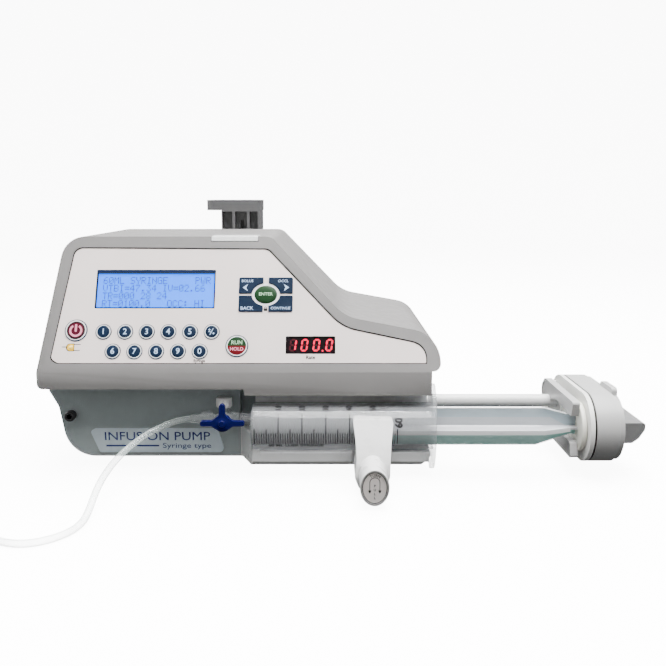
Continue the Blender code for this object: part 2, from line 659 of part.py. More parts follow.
def make_head():
    z = SYRINGE_Z
    drive = add("drive_tube", pillar("X", (DRIVE_Y, DRIVE_Z), 4.5, 28.5, 159.6, 24), "white_plastic")
    cut(drive, pillar("X", (DRIVE_Y, DRIVE_Z), 2.8, 20, 140, 12))
    face = add("head_face", slab("X", stadium(HEAD_RADIUS, SYRINGE_Y, HEAD_BACK_Y, z), HEAD_LEFT, 163.2), "white_plastic")
    join(face, slab("X", rounded([(46, 17.5, 3), (81, 17.5, 6), (81, 36, 6), (46, 36, 3)], 3), 157.0, 161))
    pins = [pillar("X", (CLAW_PIVOT_Y, z + side * CLAW_PIVOT_OFFSET), 1.6, 152, 161, 12) for side in (-1, 1)]
    join(face, *pins)
    cut(face, pillar("X", (DRIVE_Y, DRIVE_Z), 4.8, 140, 159.9, 24))
    body = add("head_body", slab("X", stadium(HEAD_RADIUS, SYRINGE_Y, HEAD_BACK_Y, z), 163.5, HEAD_RIGHT), "white_plastic")
    cut(body, slab("X", stadium(HEAD_RADIUS - 2.5, SYRINGE_Y, HEAD_BACK_Y, z), 160, HEAD_RIGHT - 2.5))
    cut(body, pillar("X", (20, 21.75), 5.4, 170, 190, 20))
    cover = add("head_cover", slab("X", stadium(HEAD_RADIUS - 1.2, SYRINGE_Y, HEAD_BACK_Y, z), 178.6, 181.6), "white_plastic")
    join(cover, slab("X", [(13, 40), (27, 40), (27, 48), (13, 48)], 178.6, 181.6))
    cut(cover, pillar("X", (20, 21.75), 5.4, 170, 190, 20))
    for name, side in (("upper_claw", 1), ("lower_claw", -1)):
        pivot = (0, CLAW_PIVOT_Y, z + side * CLAW_PIVOT_OFFSET)
        corners = [
            (76, 10, 4), (76, 20.5, 4), (0, 20.5, 2), (-3.5, 17, 1), (-1, 11.0), (6, 11.0), (16, 15.2),
            (50, 13.5), (64, 10, 2),
        ]
        points = rounded([(corner[0], z + side * corner[1], *corner[2:]) for corner in corners], 3)
        claw = add(name, slab("X", points, CLAW_LEFT, CLAW_RIGHT), "white_plastic", pivot)
        cut(claw, pillar("X", (CLAW_PIVOT_Y, z + side * CLAW_PIVOT_OFFSET), 1.9, 150, 158, 12))
    knob_side = [(182, 16), (189, 16), (194.5, 18.5, 3), (CLUTCH_RIGHT, 24, 2), (CLUTCH_RIGHT, 27.5), (182, 27.5)]
    pivot = (0, 20, 21.75)
    knob = add("clutch_knob", slab("Y", rounded(knob_side, 4), -41, 1), "white_plastic", pivot)
    join(knob, pillar("X", (20, 21.75), 5.0, 170, 184, 20))


# Drive: frame, screw with its gear, motor, pinion and carriage.

GEAR_TEETH, PINION_TEETH, TOOTH_MODULE = 20, 10, 1.0


def gear_outline(centre, teeth, shift):
    """Straight-flanked teeth of 1 module above and 1.25 below the pitch circle."""
    pitch = teeth * TOOTH_MODULE / 2
    points = []
    for tooth in range(teeth):
        for part, radius in ((-0.32, -1.25), (-0.13, 0.85), (0.13, 0.85), (0.32, -1.25)):
            angle = 2 * math.pi * (tooth + part + shift) / teeth
            reach = pitch + radius * TOOTH_MODULE
            points.append((centre[0] + reach * math.cos(angle), centre[1] + reach * math.sin(angle)))
    return points


def make_drive():
    plan = [
        (-80, 48), (-77, 48), (-77, 99), (53, 99), (53, 48), (56, 48), (56, 102), (-93.7, 102), (-93.7, 74),
        (-90.7, 74), (-90.7, 98), (-80, 98),
    ]
    frame = add("drive_frame", slab("Z", plan, 10, 44), "steel")
    spacing = (GEAR_TEETH + PINION_TEETH) * TOOTH_MODULE / 2
    motor_y = SCREW_Y + spacing + 0.15
    cut(
        frame,
        pillar("X", (SCREW_Y, SCREW_Z), 2.3, -85, -70, 16),
        pillar("X", (SCREW_Y, SCREW_Z), 2.3, 50, 60, 16),
        pillar("X", (DRIVE_Y, DRIVE_Z), 4.9, 50, 60, 20),
        pillar("X", (motor_y, SCREW_Z), 3.0, -100, -85, 16),
        block((-90, 40, 8), (-70, 66, 50)),
    )
    screw = add("lead_screw", pillar("X", (SCREW_Y, SCREW_Z), 3.0, -76.7, 52.7, 16), "steel", (0, SCREW_Y, SCREW_Z))
    join(
        screw,
        pillar("X", (SCREW_Y, SCREW_Z), 2.0, -84, 58, 16),
        slab("X", gear_outline((SCREW_Y, SCREW_Z), GEAR_TEETH, 0), -88, -83),
    )
    pinion = add(
        "motor_pinion", slab("X", gear_outline((motor_y, SCREW_Z), PINION_TEETH, 0.5), -88, -83), "steel",
        (0, motor_y, SCREW_Z),
    )
    join(pinion, pillar("X", (motor_y, SCREW_Z), 1.8, -105, -84, 12))
    motor = add("stepper_motor", block((-132, motor_y - 14, SCREW_Z - 14), (-94, motor_y + 14, SCREW_Z + 14)), "black_plastic")
    soften(motor, 3)
    cut(motor, pillar("X", (motor_y, SCREW_Z), 2.1, -106, -90, 12))
    carriage = add("carriage", block((8, 50, 19), (28, 88, 38)), "steel")
    cut(carriage, pillar("X", (SCREW_Y, SCREW_Z), 3.3, 0, 40, 16))
    add("battery_pack", block((-62, 106, 4), (42, 150, 36)), "cell_wrap")
    soften(bpy.data.objects["battery_pack"], 3)


# Barrel clamp: the arm with its oval grip, and the rod and spring that pull it home.

def make_clamp():
    front = [
        (-11.8, 30.0, 1.5), (13.2, 29.3, 1.5), (11.0, 13), (10.4, -1), (8.0, -8.6, 3), (0, -11.8, 6),
        (-8.0, -8.6, 3), (-11.2, -1), (-9.7, 13),
    ]
    outline = rounded([(CLAMP_X + x, CLAMP_Z + z, *r) for x, z, *r in front], 4)
    pivot = (CLAMP_X, CLAMP_ARM_REAR, CLAMP_Z)
    arm = add("clamp_arm", slab("Y", outline, -CLAMP_ARM_REAR, 31), "white_plastic", pivot)
    side = [(CLAMP_ARM_REAR + 1, -20), (-32, -20), (-31, 12), (-14.5, 35.6), (CLAMP_ARM_REAR + 1, 35.6)]
    boolean(arm, add("clamp_side", slab("X", side, 0, 50)), "INTERSECT")
    grip = slab("Y", ellipse((CLAMP_X, CLAMP_Z), 8.6, 11.2, 32), 28, -CLAMP_FRONT)
    join(arm, grip)
    cut(arm, pillar("Y", (CLAMP_X, CLAMP_Z), CLAMP_ROD_RADIUS + 0.3, 0, 24, 16))
    rod = add("clamp_rod", pillar("Y", (CLAMP_X, CLAMP_Z), CLAMP_ROD_RADIUS, -92, 23.7, 16), "steel")
    join(rod, pillar("Y", (CLAMP_X, CLAMP_Z), 3.6, -94, -90.5, 16))
    turns, per_turn = 7, 10
    coil = []
    for i in range(turns * per_turn + 1):
        angle = 2 * math.pi * i / per_turn
        y = 37 + 51.5 * i / (turns * per_turn)
        coil.append((CLAMP_X + 3.2 * math.cos(angle), y, CLAMP_Z + 3.2 * math.sin(angle)))
    tube("clamp_spring", coil, 0.45, "steel", 0)


# Swivel clamp at the back for a medical rail.

RAIL_X = -74.0


def make_rail_clamp():
    pivot = (RAIL_X, CASE_DEPTH, 118)
    section = [
        (160.3, 92), (205, 92), (205, 104), (170, 104), (170, 139.5), (183, 144), (183, 158.5), (199, 158.5),
        (199, 152), (205, 152), (205, 167.2), (160.3, 167.2),
    ]
    clamp = add("rail_clamp", slab("X", section, -90, -58), "clamp_grey", pivot)
    join(clamp, block((-101.8, 161, 159), (-85, 203, 166.8)))
    cut(clamp, pillar("Z", (RAIL_X, 186), 4.3, 80, 120, 20))
    screw = add("rail_screw", pillar("Z", (RAIL_X, 186), 4.0, 50, 112, 20), "steel", (RAIL_X, 186, 0))
    join(screw, pillar("Z", (RAIL_X, 186), 15, 46, 66, 12), pillar("Z", (RAIL_X, 186), 8, 110, 114, 20))


make_casing()
make_panel()
make_keys()
make_boards()
make_housing()
make_cradle()
make_syringe()
make_tap()
make_line()
make_head()
make_drive()
make_clamp()
make_rail_clamp()
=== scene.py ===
"""The looks of the infusion pump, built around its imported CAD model.

Shapes are drawn in millimetres on the pump's own axes, as in the CAD: X to the right, Y to the back,
Z up, with Y = 0 at the front of the syringe cradle and Z = 0 at the underside of the lower housing.
"""

import json
import math

import bmesh
import bpy
from mathutils import Matrix, Vector

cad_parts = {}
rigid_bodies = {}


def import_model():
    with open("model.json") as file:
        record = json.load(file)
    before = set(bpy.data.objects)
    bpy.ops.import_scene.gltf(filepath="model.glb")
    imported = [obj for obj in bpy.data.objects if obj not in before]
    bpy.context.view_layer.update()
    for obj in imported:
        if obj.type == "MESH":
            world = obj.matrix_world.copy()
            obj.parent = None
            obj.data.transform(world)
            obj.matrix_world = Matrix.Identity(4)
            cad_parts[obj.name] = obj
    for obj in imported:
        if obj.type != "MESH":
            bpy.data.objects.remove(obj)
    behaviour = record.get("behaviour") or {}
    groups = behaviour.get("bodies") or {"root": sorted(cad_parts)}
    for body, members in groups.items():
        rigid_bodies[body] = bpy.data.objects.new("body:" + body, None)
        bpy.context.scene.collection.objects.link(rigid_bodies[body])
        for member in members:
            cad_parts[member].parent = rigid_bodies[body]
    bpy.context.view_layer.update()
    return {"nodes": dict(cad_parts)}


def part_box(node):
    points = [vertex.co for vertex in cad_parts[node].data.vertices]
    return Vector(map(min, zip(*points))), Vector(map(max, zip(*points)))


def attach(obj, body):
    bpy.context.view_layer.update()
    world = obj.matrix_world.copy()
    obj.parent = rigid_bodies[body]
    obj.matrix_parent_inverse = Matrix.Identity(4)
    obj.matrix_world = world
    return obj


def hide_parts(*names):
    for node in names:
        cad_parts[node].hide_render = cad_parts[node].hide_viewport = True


for old in list(bpy.data.objects):
    bpy.data.objects.remove(old, do_unlink=True)

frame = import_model()

MM = 0.001
CASE_LEFT, CASE_RIGHT, CASE_DEPTH, CASE_TOP = -186.3, 68.0, 160.0, 144.0
LIP_Z = 61.0
GAP = 0.3
HOUSING_FRONT, HOUSING_RIGHT, HOUSING_TOP = 20.0, 62.3, 50.0
CRADLE_LEFT, CRADLE_TOP, CRADLE_BACK = -56.0, 46.0, 30.7
FOOT_HEIGHT = 8.0
SYRINGE_Y, SYRINGE_Z = 10.0, 23.6
BARREL_RADIUS, BARREL_BORE, BARREL_LEFT, BARREL_RIGHT = 15.6, 14.55, -52.0, 65.2
LUER_Z, TAP_X = 28.4, -70.1
HEAD_RADIUS, HEAD_BACK_Y, CLUTCH_AXIS = 22.3, 60.0, (20, 21.75)
CLAMP_X, CLAMP_Z = 24.0, 5.3
RAIL_X = -74.0
TUBE_RADIUS = 2.05

# The pump's own axes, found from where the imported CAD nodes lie.
ORIGIN = Vector((
    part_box("upper_casing")[0].x - CASE_LEFT * MM,
    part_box("syringe_cradle")[0].y,
    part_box("lower_housing")[0].z,
))

LEAN = math.radians(25)
FRAMES = {
    "X": Matrix(((0, 0, 1, 0), (1, 0, 0, 0), (0, 1, 0, 0), (0, 0, 0, 1))),
    "Y": Matrix(((1, 0, 0, 0), (0, 0, -1, 0), (0, 1, 0, 0), (0, 0, 0, 1))),
    "Z": Matrix.Identity(4),
    "LEAN": Matrix((
        (1, 0, 0, 0),
        (0, math.sin(LEAN), -math.cos(LEAN), 0),
        (0, math.cos(LEAN), math.sin(LEAN), LIP_Z),
        (0, 0, 0, 1),
    )),
}


def world(x, y, z):
    return ORIGIN + Vector((x, y, z)) * MM


# Camera.

CAMERA_BACK, CAMERA_HEIGHT, CAMERA_PITCH, LENS = -490.0, 170.9, 9.787, 43.24


def make_camera():
    data = bpy.data.cameras.new("camera")
    data.lens = LENS
    data.sensor_width = 36
    data.clip_start = 0.01
    camera = bpy.data.objects.new("camera", data)
    camera.location = world(0, CAMERA_BACK, CAMERA_HEIGHT)
    camera.rotation_euler = (math.radians(90 - CAMERA_PITCH), 0, 0)
    bpy.context.scene.collection.objects.link(camera)
    bpy.context.scene.camera = camera


make_camera()


# The infusion line: its route, then a round coil of two layers, then its connector.

TABLE_Z = -FOOT_HEIGHT + TUBE_RADIUS
COIL_CENTRE, COIL_MIDDLE = (-216.0, -112.0), 23.5
LINE_ROUTE = [
    (-92.3, SYRINGE_Y, LUER_Z), (-98.5, 9.6, 27.9), (-104.4, 8.3, 26.3), (-110.6, 5.3, 24.1),
    (-116.6, 0.8, 21.9), (-122.9, -6.0, 18.6), (-128.2, -14.5, 15.4), (-132.2, -24.5, 12.0),
    (-134.6, -35.0, 8.8), (-135.9, -46.0, 5.5), (-136.1, -57.0, 1.9), (-135.9, -67.0, -1.9),
    (-136.3, -76.5, TABLE_Z + 1.0), (-139.2, -86.5, TABLE_Z), (-145.0, -95.5, TABLE_Z),
    (-153.8, -102.0, TABLE_Z), (-164.3, -103.2, TABLE_Z), (-174.0, -99.4, TABLE_Z),
    (-182.7, -94.3, TABLE_Z), (-191.3, -89.3, TABLE_Z), (-200.0, -84.3, TABLE_Z),
]
UPPER_Z = TABLE_Z + 2 * TUBE_RADIUS
INNER, OUTER = COIL_MIDDLE - 2 * TUBE_RADIUS, COIL_MIDDLE + 2 * TUBE_RADIUS
COIL_ENTRY = OUTER + 2 * TUBE_RADIUS + GAP
COIL_EXIT = OUTER + TUBE_RADIUS + 3.2
# Turn number, radius and height at which the coil's winding changes.
COIL_STAGES = [
    (0.0, COIL_ENTRY, TABLE_Z), (0.3, OUTER, TABLE_Z), (1.15, OUTER, TABLE_Z), (1.4, COIL_MIDDLE, TABLE_Z),
    (2.1, COIL_MIDDLE, TABLE_Z), (2.35, INNER, TABLE_Z), (2.5, INNER, TABLE_Z), (2.85, INNER, UPPER_Z),
    (3.0, INNER, UPPER_Z), (3.25, COIL_MIDDLE, UPPER_Z), (3.95, COIL_MIDDLE, UPPER_Z),
    (4.2, OUTER, UPPER_Z), (5.05, OUTER, UPPER_Z), (5.3333, COIL_EXIT, TABLE_Z + 2.0),
]
POINTS_PER_TURN = 30


def line_points():
    """The route, then the coil's turns, all in millimetres."""
    points = list(LINE_ROUTE)
    last_turn = COIL_STAGES[-1][0]
    count = round(last_turn * POINTS_PER_TURN)
    for i in range(1, count + 1):
        turn = last_turn * i / count
        for (t0, r0, z0), (t1, r1, z1) in zip(COIL_STAGES, COIL_STAGES[1:]):
            if turn <= t1 + 1e-9:
                share = (turn - t0) / (t1 - t0)
                ease = share * share * (3 - 2 * share)
                break
        radius, z = r0 + (r1 - r0) * ease, z0 + (z1 - z0) * ease
        angle = math.radians(60 + 360 * turn)
        points.append((
            COIL_CENTRE[0] + radius * math.cos(angle), COIL_CENTRE[1] + radius * math.sin(angle), z
        ))
    return points


# Materials. Each has its colour, gloss and fine surface from noise, at real scale.

def new_material(name):
    made = bpy.data.materials.new(name)
    made.use_nodes = True
    nodes = made.node_tree.nodes
    shader = nodes["Principled BSDF"]
    place = nodes.new("ShaderNodeTexCoord")
    return made, nodes, made.node_tree.links, shader, place


def settle(node, values):
    for socket, value in values.items():
        node.inputs[socket].default_value = value


def noise(nodes, links, place, per_metre, detail=2.0, stretch=(1, 1, 1)):
    """Noise in the object's own coordinates, which are metres."""
    scale = nodes.new("ShaderNodeMapping")
    settle(scale, {"Scale": stretch})
    texture = nodes.new("ShaderNodeTexNoise")
    settle(texture, {"Scale": per_metre, "Detail": detail})
    links.new(place.outputs["Object"], scale.inputs["Vector"])
    links.new(scale.outputs["Vector"], texture.inputs["Vector"])
    return texture.outputs["Fac"]


def ranged(nodes, links, value, low, high, start=0.3, end=0.7):
    spread = nodes.new("ShaderNodeMapRange")
    settle(spread, {"From Min": start, "From Max": end, "To Min": low, "To Max": high})
    links.new(value, spread.inputs["Value"])
    return spread.outputs["Result"]


def blended(nodes, links, share, first, second):
    mix = nodes.new("ShaderNodeMix")
    mix.data_type = "RGBA"
    links.new(share, mix.inputs["Factor"])
    settle(mix, {"A": (*first, 1), "B": (*second, 1)})
    return mix.outputs["Result"]


def bumped(nodes, links, shader, height, strength, distance):
    bump = nodes.new("ShaderNodeBump")
    settle(bump, {"Strength": strength, "Distance": distance})
    links.new(height, bump.inputs["Height"])
    links.new(bump.outputs["Normal"], shader.inputs["Normal"])


def plastic(
    name, colour, rough=0.42, grain=0.05, grain_per_metre=1800, mottle=0.05, metal=0.0, coat=0.0,
    stretch=(1, 1, 1),
):
    """Moulded plastic or metal: slight colour variation, uneven gloss, and a fine grain."""
    made, nodes, links, shader, place = new_material(name)
    dark = [c * (1 - mottle) for c in colour]
    light = [min(1, c * (1 + mottle)) for c in colour]
    broad = noise(nodes, links, place, 28, 3, stretch)
    share = ranged(nodes, links, broad, 0, 1)
    links.new(blended(nodes, links, share, dark, light), shader.inputs["Base Color"])
    medium = noise(nodes, links, place, 160, 3, stretch)
    links.new(ranged(nodes, links, medium, rough - 0.06, rough + 0.07), shader.inputs["Roughness"])
    fine = noise(nodes, links, place, grain_per_metre, 2, stretch)
    bumped(nodes, links, shader, fine, grain, 0.0003)
    settle(shader, {"Metallic": metal, "Coat Weight": coat, "Coat Roughness": 0.12})
    return made


def clear(name, tint, facing=0.14, edge=0.62, rough=0.09, flow=0.04):
    """Thin clear plastic: it lets most through where it faces the eye and less along its edges."""
    made, nodes, links, shader, place = new_material(name)
    weight = nodes.new("ShaderNodeLayerWeight")
    settle(weight, {"Blend": 0.35})
    cover = ranged(nodes, links, weight.outputs["Facing"], facing, edge, 0.05, 0.95)
    links.new(cover, shader.inputs["Alpha"])
    streaks = noise(nodes, links, place, 60, 2, (1, 6, 6))
    share = ranged(nodes, links, streaks, 0, 1)
    links.new(blended(nodes, links, share, [c * 0.93 for c in tint], tint), shader.inputs["Base Color"])
    links.new(ranged(nodes, links, streaks, rough - 0.04, rough + 0.05), shader.inputs["Roughness"])
    bumped(nodes, links, shader, streaks, flow, 0.0004)
    settle(shader, {"Coat Weight": 0.6, "Coat Roughness": 0.05})
    return made


def lit(name, colour, strength, dim=0.9):
    """A lit window or lamp, slightly uneven in brightness."""
    made, nodes, links, shader, place = new_material(name)
    broad = noise(nodes, links, place, 45, 2)
    uneven = blended(nodes, links, ranged(nodes, links, broad, 0, 1), [c * dim for c in colour], colour)
    links.new(uneven, shader.inputs["Base Color"])
    links.new(uneven, shader.inputs["Emission Color"])
    settle(shader, {"Emission Strength": strength, "Roughness": 0.2})
    settle(shader, {"Coat Weight": 0.5, "Coat Roughness": 0.05})
    return made


CASE = plastic("case_plastic", (0.180, 0.174, 0.171), 0.36, 0.08, 1500, 0.03)
PANEL = plastic("panel_film", (0.77, 0.685, 0.655), 0.38, 0.04, 2600, 0.035, coat=0.1)
# Grey housing plastic whose green tint is a painted reflection of a green cloth beneath the pump.
HOUSING_PAINTED_REFLECTION = plastic("housing_plastic", (0.31, 0.352, 0.357), 0.46, 0.12, 1400, 0.06)
CRADLE = plastic("cradle_plastic", (0.68, 0.69, 0.69), 0.32, 0.05, 1500, 0.04, coat=0.2)
WHITE = plastic("white_plastic", (0.68, 0.68, 0.675), 0.3, 0.04, 1200, 0.02, coat=0.25)
WHITE_MATT = plastic("head_plastic", (0.40, 0.40, 0.396), 0.40, 0.08, 1500, 0.03)
IVORY_WHITE = plastic("head_plate", (0.80, 0.80, 0.77), 0.36, 0.05, 1200, 0.025, coat=0.15)
CLAW = plastic("claw_plastic", (0.40, 0.40, 0.40), 0.4, 0.06, 1200, 0.04)
CLUTCH = plastic("clutch_plastic", (0.17, 0.17, 0.172), 0.42, 0.08, 1200, 0.04)
FLOOR = plastic("floor_paper", (0.86, 0.86, 0.86), 0.7, 0.02, 300, 0.01)
settle(FLOOR.node_tree.nodes["Principled BSDF"], {"Emission Color": (1, 1, 1, 1), "Emission Strength": 10.0})
IVORY = plastic("ivory_plastic", (0.80, 0.79, 0.70), 0.32, 0.03, 1200, 0.03, coat=0.2)
KNOB_FACE = plastic("knob_face", (0.66, 0.615, 0.59), 0.4, 0.08, 2400, 0.03)
KNOB_RIM = plastic("knob_rim", (0.24, 0.235, 0.23), 0.4, 0.06, 2000, 0.05)
NAVY = plastic("key_navy", (0.004, 0.013, 0.032), 0.34, 0.03, 2600, 0.12, coat=0.1)
NAVY_RIM = plastic("key_rim", (0.012, 0.02, 0.05), 0.4, 0.03, 2600, 0.1)
KEY_WHITE = plastic("print_white", (0.78, 0.79, 0.80), 0.45, 0.03, 2600, 0.03)
LEGEND = plastic("key_legend", (0.42, 0.56, 0.78), 0.45, 0.03, 2600, 0.04)
KEY_RED = plastic("key_red", (0.06, 0.003, 0.012), 0.36, 0.03, 2600, 0.12)
KEY_HOLD = plastic("key_hold_red", (0.12, 0.004, 0.008), 0.36, 0.03, 2600, 0.1)
KEY_GREEN = plastic("key_green", (0.008, 0.036, 0.011), 0.36, 0.03, 2600, 0.12)
KEY_PINK = plastic("key_pink", (0.70, 0.25, 0.34), 0.4, 0.03, 2600, 0.05)
LEGEND_GREEN = plastic("legend_green", (0.30, 0.52, 0.32), 0.4, 0.03, 2600, 0.05)
PRINT_DARK = plastic("print_dark", (0.016, 0.014, 0.014), 0.5, 0.03, 2600, 0.1)
PRINT_YELLOW = plastic("print_yellow", (0.80, 0.48, 0.02), 0.4, 0.03, 2600, 0.05)
GASKET = plastic("gasket", (0.025, 0.02, 0.02), 0.6, 0.05, 1500, 0.1)
BEZEL = plastic("display_bezel", (0.006, 0.013, 0.04), 0.35, 0.02, 2000, 0.1)
LCD = lit("display_lcd", (0.012, 0.15, 0.85), 1.9, 0.93)
LCD_DOT = plastic("display_dots", (0.02, 0.045, 0.24), 0.4, 0.02, 2000, 0.08)
LED_BACK = plastic("display_led", (0.006, 0.003, 0.004), 0.25, 0.02, 1500, 0.2)
LED_ON = lit("led_lit", (0.85, 0.003, 0.055), 0.8, 0.9)
LED_OFF = plastic("led_unlit", (0.05, 0.008, 0.012), 0.3, 0.02, 1500, 0.1)
LAMP = lit("lamp_amber", (0.9, 0.62, 0.12), 0.4)
LENS_WHITE = plastic("alarm_lens", (0.70, 0.71, 0.70), 0.3, 0.06, 900, 0.04, coat=0.4)
LABEL = plastic("label_film", (0.54, 0.62, 0.67), 0.36, 0.06, 2600, 0.05, coat=0.1)
LABEL_INK = plastic("label_ink", (0.02, 0.035, 0.15), 0.45, 0.03, 2600, 0.08)
TAP_BLUE = plastic("tap_blue", (0.003, 0.004, 0.075), 0.34, 0.04, 1400, 0.08, coat=0.05)
RUBBER = plastic("black_rubber", (0.022, 0.022, 0.022), 0.7, 0.2, 1600, 0.15)
SEAL = plastic("seal_rubber", (0.025, 0.025, 0.026), 0.5, 0.05, 1400, 0.1)
BLACK = plastic("black_plastic", (0.012, 0.012, 0.013), 0.42, 0.12, 1800, 0.15)
RAIL_GREY = plastic("rail_clamp_grey", (0.092, 0.092, 0.094), 0.42, 0.16, 1200, 0.08)
STEEL = plastic("brushed_steel", (0.55, 0.55, 0.54), 0.3, 0.12, 900, 0.06, metal=1.0, stretch=(1, 8, 8))
BOARD = plastic("board", (0.02, 0.14, 0.06), 0.4, 0.08, 1800, 0.12, coat=0.3)
CELL = plastic("cell_wrap", (0.05, 0.14, 0.35), 0.25, 0.1, 260, 0.06, coat=0.4)
TICK = plastic("scale_ink", (0.004, 0.004, 0.005), 0.6, 0.02, 2600, 0.2)
CLEAR = clear("clear_plastic", (0.84, 0.88, 0.89))
BARREL_CLEAR = clear("barrel_plastic", (0.62, 0.64, 0.66), 0.24, 0.75, 0.07, 0.01)
ROD_CLEAR = clear("rod_plastic", (0.32, 0.39, 0.43), 0.90, 0.95, 0.12)
# Darker teal copy of the rod plastic for the lower rib: painted shade under the level rib, with a painted
# green reflection in its tint.
ROD_SHADE_AND_REFLECTION = clear("rod_lower_painted_shade_and_reflection", (0.29, 0.55, 0.50), 0.93, 0.97, 0.15)
# Lighter copy of the rod plastic for the level rib and a band above it: painted light where the rib faces the
# overhead light.
ROD_PAINTED_LIGHT = clear("rod_level_painted_light", (0.66, 0.67, 0.70), 0.55, 0.8, 0.12)
# Near-white copy of the rod plastic for thin strips along the rib edges: painted highlights.
ROD_PAINTED_HIGHLIGHT = clear("rod_edge_painted_highlight", (0.90, 0.93, 0.93), 0.62, 0.8, 0.15)
TUBE_CLEAR = clear("tube_plastic", (0.74, 0.82, 0.80), 0.22, 0.75, 0.08)

# Inks, keys and displays reflect little.
for dull in (
    NAVY, NAVY_RIM, KEY_RED, KEY_HOLD, KEY_GREEN, LEGEND, PRINT_DARK, GASKET, BEZEL, LCD, LCD_DOT, LED_BACK,
    LED_ON, LED_OFF, TAP_BLUE, LABEL_INK,
):
    settle(dull.node_tree.nodes["Principled BSDF"], {"Specular IOR Level": 0.12})


# Shapes. Every function gives a bmesh in millimetres on the pump's axes.

def block(low, high):
    shape = bmesh.new()
    bmesh.ops.create_cube(shape, size=1)
    size = Vector(high) - Vector(low)
    bmesh.ops.scale(shape, verts=shape.verts, vec=size)
    bmesh.ops.translate(shape, verts=shape.verts, vec=Vector(low) + size / 2)
    return shape


def pillar(frame_name, centre, radius, low, high, segments=64):
    shape = bmesh.new()
    bmesh.ops.create_cone(
        shape, cap_ends=True, segments=segments, radius1=radius, radius2=radius, depth=abs(high - low)
    )
    bmesh.ops.translate(shape, verts=shape.verts, vec=(*centre, (low + high) / 2))
    bmesh.ops.transform(shape, matrix=FRAMES[frame_name], verts=shape.verts)
    return shape


def rounded(corners, steps=8):
    """Corners as (x, y) or (x, y, radius), with each radius drawn as an arc."""
    points = []
    count = len(corners)
    for i, corner in enumerate(corners):
        here = Vector(corner[:2])
        radius = corner[2] if len(corner) > 2 else 0
        if not radius:
            points.append(tuple(here))
            continue
        back = (Vector(corners[i - 1][:2]) - here).normalized()
        ahead = (Vector(corners[(i + 1) % count][:2]) - here).normalized()
        half = back.angle(ahead) / 2
        centre = here + (back + ahead).normalized() * (radius / math.sin(half))
        start = here + back * (radius / math.tan(half)) - centre
        end = here + ahead * (radius / math.tan(half)) - centre
        turn = start.angle_signed(end)
        for step in range(steps + 1):
            angle = -turn * step / steps
            points.append((
                centre.x + start.x * math.cos(angle) - start.y * math.sin(angle),
                centre.y + start.x * math.sin(angle) + start.y * math.cos(angle),
            ))
    return points


def from_curve(curve):
    """The mesh of a curve or a text, as a welded bmesh."""
    holder = bpy.data.objects.new("outline", curve)
    bpy.context.scene.collection.objects.link(holder)
    graph = bpy.context.evaluated_depsgraph_get()
    mesh = bpy.data.meshes.new_from_object(holder.evaluated_get(graph))
    bpy.data.objects.remove(holder)
    bpy.data.curves.remove(curve)
    shape = bmesh.new()
    shape.from_mesh(mesh)
    bpy.data.meshes.remove(mesh)
    bmesh.ops.remove_doubles(shape, verts=shape.verts, dist=0.001)
    bmesh.ops.recalc_face_normals(shape, faces=shape.faces)
    return shape


def slab(frame_name, outlines, low, high):
    """A flat outline, or an outline and its holes, thick from low to high along the frame's third axis."""
    curve = bpy.data.curves.new("outline", "CURVE")
    curve.dimensions = "2D"
    curve.fill_mode = "BOTH"
    curve.extrude = abs(high - low) / 2
    for outline in outlines if isinstance(outlines[0], list) else [outlines]:
        line = curve.splines.new("POLY")
        line.points.add(len(outline) - 1)
        for point, (x, y) in zip(line.points, outline):
            point.co = (x, y, 0, 1)
        line.use_cyclic_u = True
    shape = from_curve(curve)
    bmesh.ops.translate(shape, verts=shape.verts, vec=(0, 0, (low + high) / 2))
    bmesh.ops.transform(shape, matrix=FRAMES[frame_name], verts=shape.verts)
    return shape


def spun(frame_name, centre, profile, steps=64):
    """A profile of (radius, height) turned about the frame's third axis."""
    shape = bmesh.new()
    points = [shape.verts.new((radius, 0, height)) for radius, height in profile]
    edges = [shape.edges.new(pair) for pair in zip(points, points[1:])]
    if profile[0][0] > 0:
        edges.append(shape.edges.new((points[-1], points[0])))
    bmesh.ops.spin(
        shape, geom=points + edges, cent=(0, 0, 0), axis=(0, 0, 1), angle=2 * math.pi, steps=steps,
        use_merge=True,
    )
    bmesh.ops.remove_doubles(shape, verts=shape.verts, dist=0.0005)
    bmesh.ops.recalc_face_normals(shape, faces=shape.faces)
    bmesh.ops.translate(shape, verts=shape.verts, vec=(*centre, 0))
    bmesh.ops.transform(shape, matrix=FRAMES[frame_name], verts=shape.verts)
    return shape


def take_in(whole, shape):
    """Moves a shape into another one."""
    spare = bpy.data.meshes.new("spare")
    shape.to_mesh(spare)
    shape.free()
    whole.from_mesh(spare)
    bpy.data.meshes.remove(spare)


def together(*shapes):
    whole = bmesh.new()
    for shape in shapes:
        take_in(whole, shape)
    return whole


def as_object(shape):
    mesh = bpy.data.meshes.new("work")
    shape.to_mesh(mesh)
    shape.free()
    made = bpy.data.objects.new("work", mesh)
    bpy.context.scene.collection.objects.link(made)
    return made


def worked(shape, *steps):
    """A shape after steps such as ("cut", shape), ("join", shape), ("keep", shape) or ("soften", width)."""
    base = as_object(shape)
    helpers = []
    for kind, value in steps:
        if kind == "soften":
            width, segments = value if isinstance(value, tuple) else (value, 3)
            edge = base.modifiers.new(kind, "BEVEL")
            edge.width = width
            edge.segments = segments
            edge.limit_method = "ANGLE"
            edge.angle_limit = math.radians(38)
            edge.miter_outer = "MITER_ARC"
            continue
        helper = as_object(value)
        helpers.append(helper)
        change = base.modifiers.new(kind, "BOOLEAN")
        change.operation = {"cut": "DIFFERENCE", "join": "UNION", "keep": "INTERSECT"}[kind]
        change.object = helper
    graph = bpy.context.evaluated_depsgraph_get()
    mesh = bpy.data.meshes.new_from_object(base.evaluated_get(graph))
    result = bmesh.new()
    result.from_mesh(mesh)
    bpy.data.meshes.remove(mesh)
    for spare in (base, *helpers):
        bpy.data.objects.remove(spare)
    return result


